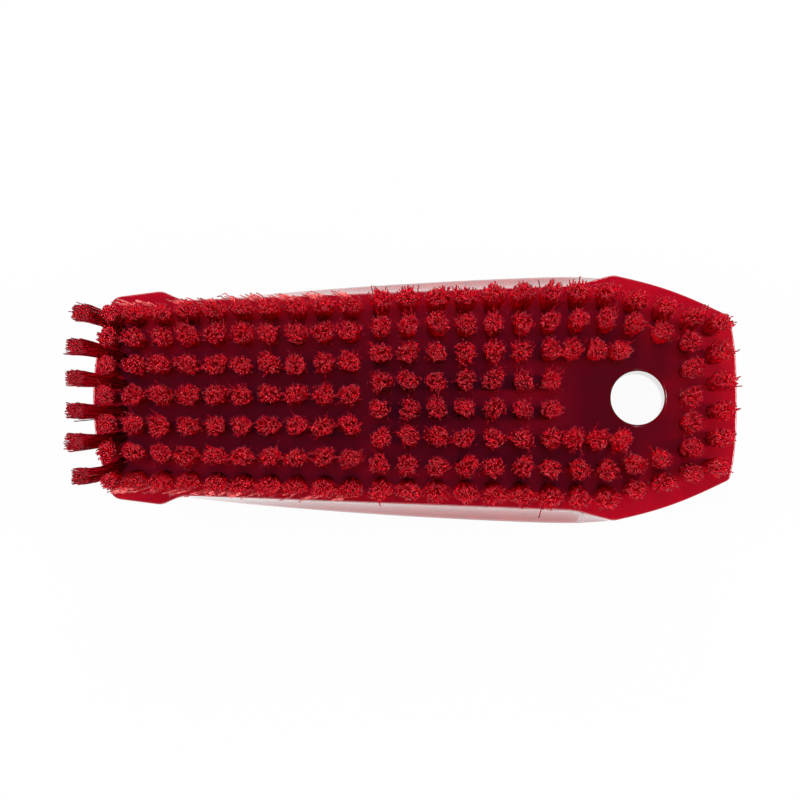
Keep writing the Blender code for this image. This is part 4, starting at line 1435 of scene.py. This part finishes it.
def lay_floor(settings):
    """A plain pale floor, nearly white where it is seen, that keeps the object's shadow."""
    bpy.ops.object.select_all(action="DESELECT")
    bpy.ops.mesh.primitive_plane_add(size=settings.floor_size, location=(0, 0, 0))
    floor = bpy.context.object
    floor.name = "floor"
    shading = new_material("pale_floor")
    speckle = shading.ranged(shading.noise(SPECKLE_SCALE, 2.0), 0, 1, *NOISE_RANGE)
    tints = [tinted(settings.floor_colour, tint) for tint in SPECKLE_TINTS]
    shading.finish(shading.blend(speckle, *tints), FLOOR_ROUGHNESS)
    glow = shading.node("ShaderNodeEmission", Strength=1.0)
    mix = shading.node("ShaderNodeMixShader")
    white = shading.combine("MULTIPLY", seen_directly(shading), FLOOR_WHITE_share)
    shading.feed(mix.inputs[0], white)
    shading.feed(mix.inputs[1], shading.shader.outputs[0])
    shading.feed(mix.inputs[2], glow.outputs[0])
    output = shading.tree.nodes["Material Output"]
    shading.feed(output.inputs["Surface"], mix.outputs[0])
    floor.data.materials.append(shading.owner)


def hang_lamps(settings):
    """Four soft square lamps: beyond the heel, the far side, the nose and the near side."""
    for quarter in range(4):
        turn = math.radians(90 + 90 * quarter)
        rise = settings.lamp_elevation[quarter]
        back = Vector((math.sin(turn) * math.cos(rise), -math.cos(turn) * math.cos(rise),
                       math.sin(rise)))
        bpy.ops.object.select_all(action="DESELECT")
        bpy.ops.object.light_add(type="AREA", location=back * settings.lamp_distance)
        lamp = bpy.context.object
        lamp.name = f"soft_lamp_{quarter + 1}"
        lamp.rotation_euler = (-back).to_track_quat("-Z", "Y").to_euler()
        lamp.data.energy = settings.lamp_power[quarter]
        lamp.data.size = settings.lamp_size
        lamp.visible_camera = False


def light_world(settings):
    """A white horizon that fades to a dim ceiling, and an even fill for the light on the object."""
    shading = Shading(bpy.data.worlds.new("studio"), "Background")
    bpy.context.scene.world = shading.owner
    place = shading.node("ShaderNodeTexCoord").outputs["Generated"]
    height = shading.node("ShaderNodeSeparateXYZ", Vector=place).outputs["Z"]
    ceiling = shading.ranged(height, 0, 1, *CEILING_START_shares)
    studio = shading.blend(ceiling, (1, 1, 1, 1), (*settings.ceiling_colour, 1))
    fill = (settings.fill_strength,) * 3
    colour = shading.blend(seen_directly(shading), (*fill, 1), studio)
    shading.feed(shading.shader.inputs["Color"], colour)
    shading.feed(shading.shader.inputs["Strength"], 1.0)


def place_camera(settings):
    """The camera, looking down on the bristles a little from the near side."""
    rise = settings.camera_elevation
    back = Vector((0, -math.cos(rise), math.sin(rise)))
    aim = Vector(settings.camera_aim)
    bpy.ops.object.select_all(action="DESELECT")
    bpy.ops.object.camera_add(location=aim + back * settings.camera_distance)
    camera = bpy.context.object
    camera.name = "camera"
    camera.rotation_euler = (-back).to_track_quat("-Z", "Y").to_euler()
    camera.data.lens = settings.lens
    camera.data.clip_start = CAMERA_CLIP_START
    bpy.context.scene.camera = camera


class BRUSH_PT_builder(Panel):
    """The steps that build the brush, in order"""

    bl_label = "Scrub Brush"
    bl_idname = "BRUSH_PT_builder"
    bl_space_type = "VIEW_3D"
    bl_region_type = "UI"
    bl_category = "Scrub Brush"

    def draw(self, context):
        scene = context.scene
        for group, steps in ((scene.brush_block, STEPS[:1]), (scene.brush_tufts, STEPS[1:-1]),
                             (scene.brush_stage, STEPS[-1:])):
            box = self.layout.box()
            for name in group.__annotations__:
                box.prop(group, name)
            for step in steps:
                box.operator(step.bl_idname)


STEPS = (
    BRUSH_OT_mould_block,
    BRUSH_OT_set_nose_tufts,
    BRUSH_OT_set_front_rows,
    BRUSH_OT_set_rear_rows,
    BRUSH_OT_set_heel_tufts,
    BRUSH_OT_light_stage,
)
GROUPS = (
    ("brush_block", BlockSettings),
    ("brush_tufts", TuftSettings),
    ("brush_stage", StageSettings),
)


def register():
    """Register the settings, the operators and the panel."""
    for name, group in GROUPS:
        bpy.utils.register_class(group)
        setattr(bpy.types.Scene, name, PointerProperty(type=group))
    for step in STEPS:
        bpy.utils.register_class(step)
    bpy.utils.register_class(BRUSH_PT_builder)


def unregister():
    """Take back what register added."""
    bpy.utils.unregister_class(BRUSH_PT_builder)
    for step in reversed(STEPS):
        bpy.utils.unregister_class(step)
    for name, group in reversed(GROUPS):
        delattr(bpy.types.Scene, name)
        bpy.utils.unregister_class(group)


def main():
    register()
    bpy.ops.brush.mould_block()
    bpy.ops.brush.set_nose_tufts()
    bpy.ops.brush.set_front_rows()
    bpy.ops.brush.set_rear_rows()
    bpy.ops.brush.set_heel_tufts()
    bpy.ops.brush.light_stage()
    bpy.context.view_layer.update()


if __name__ == "__main__":
    main()
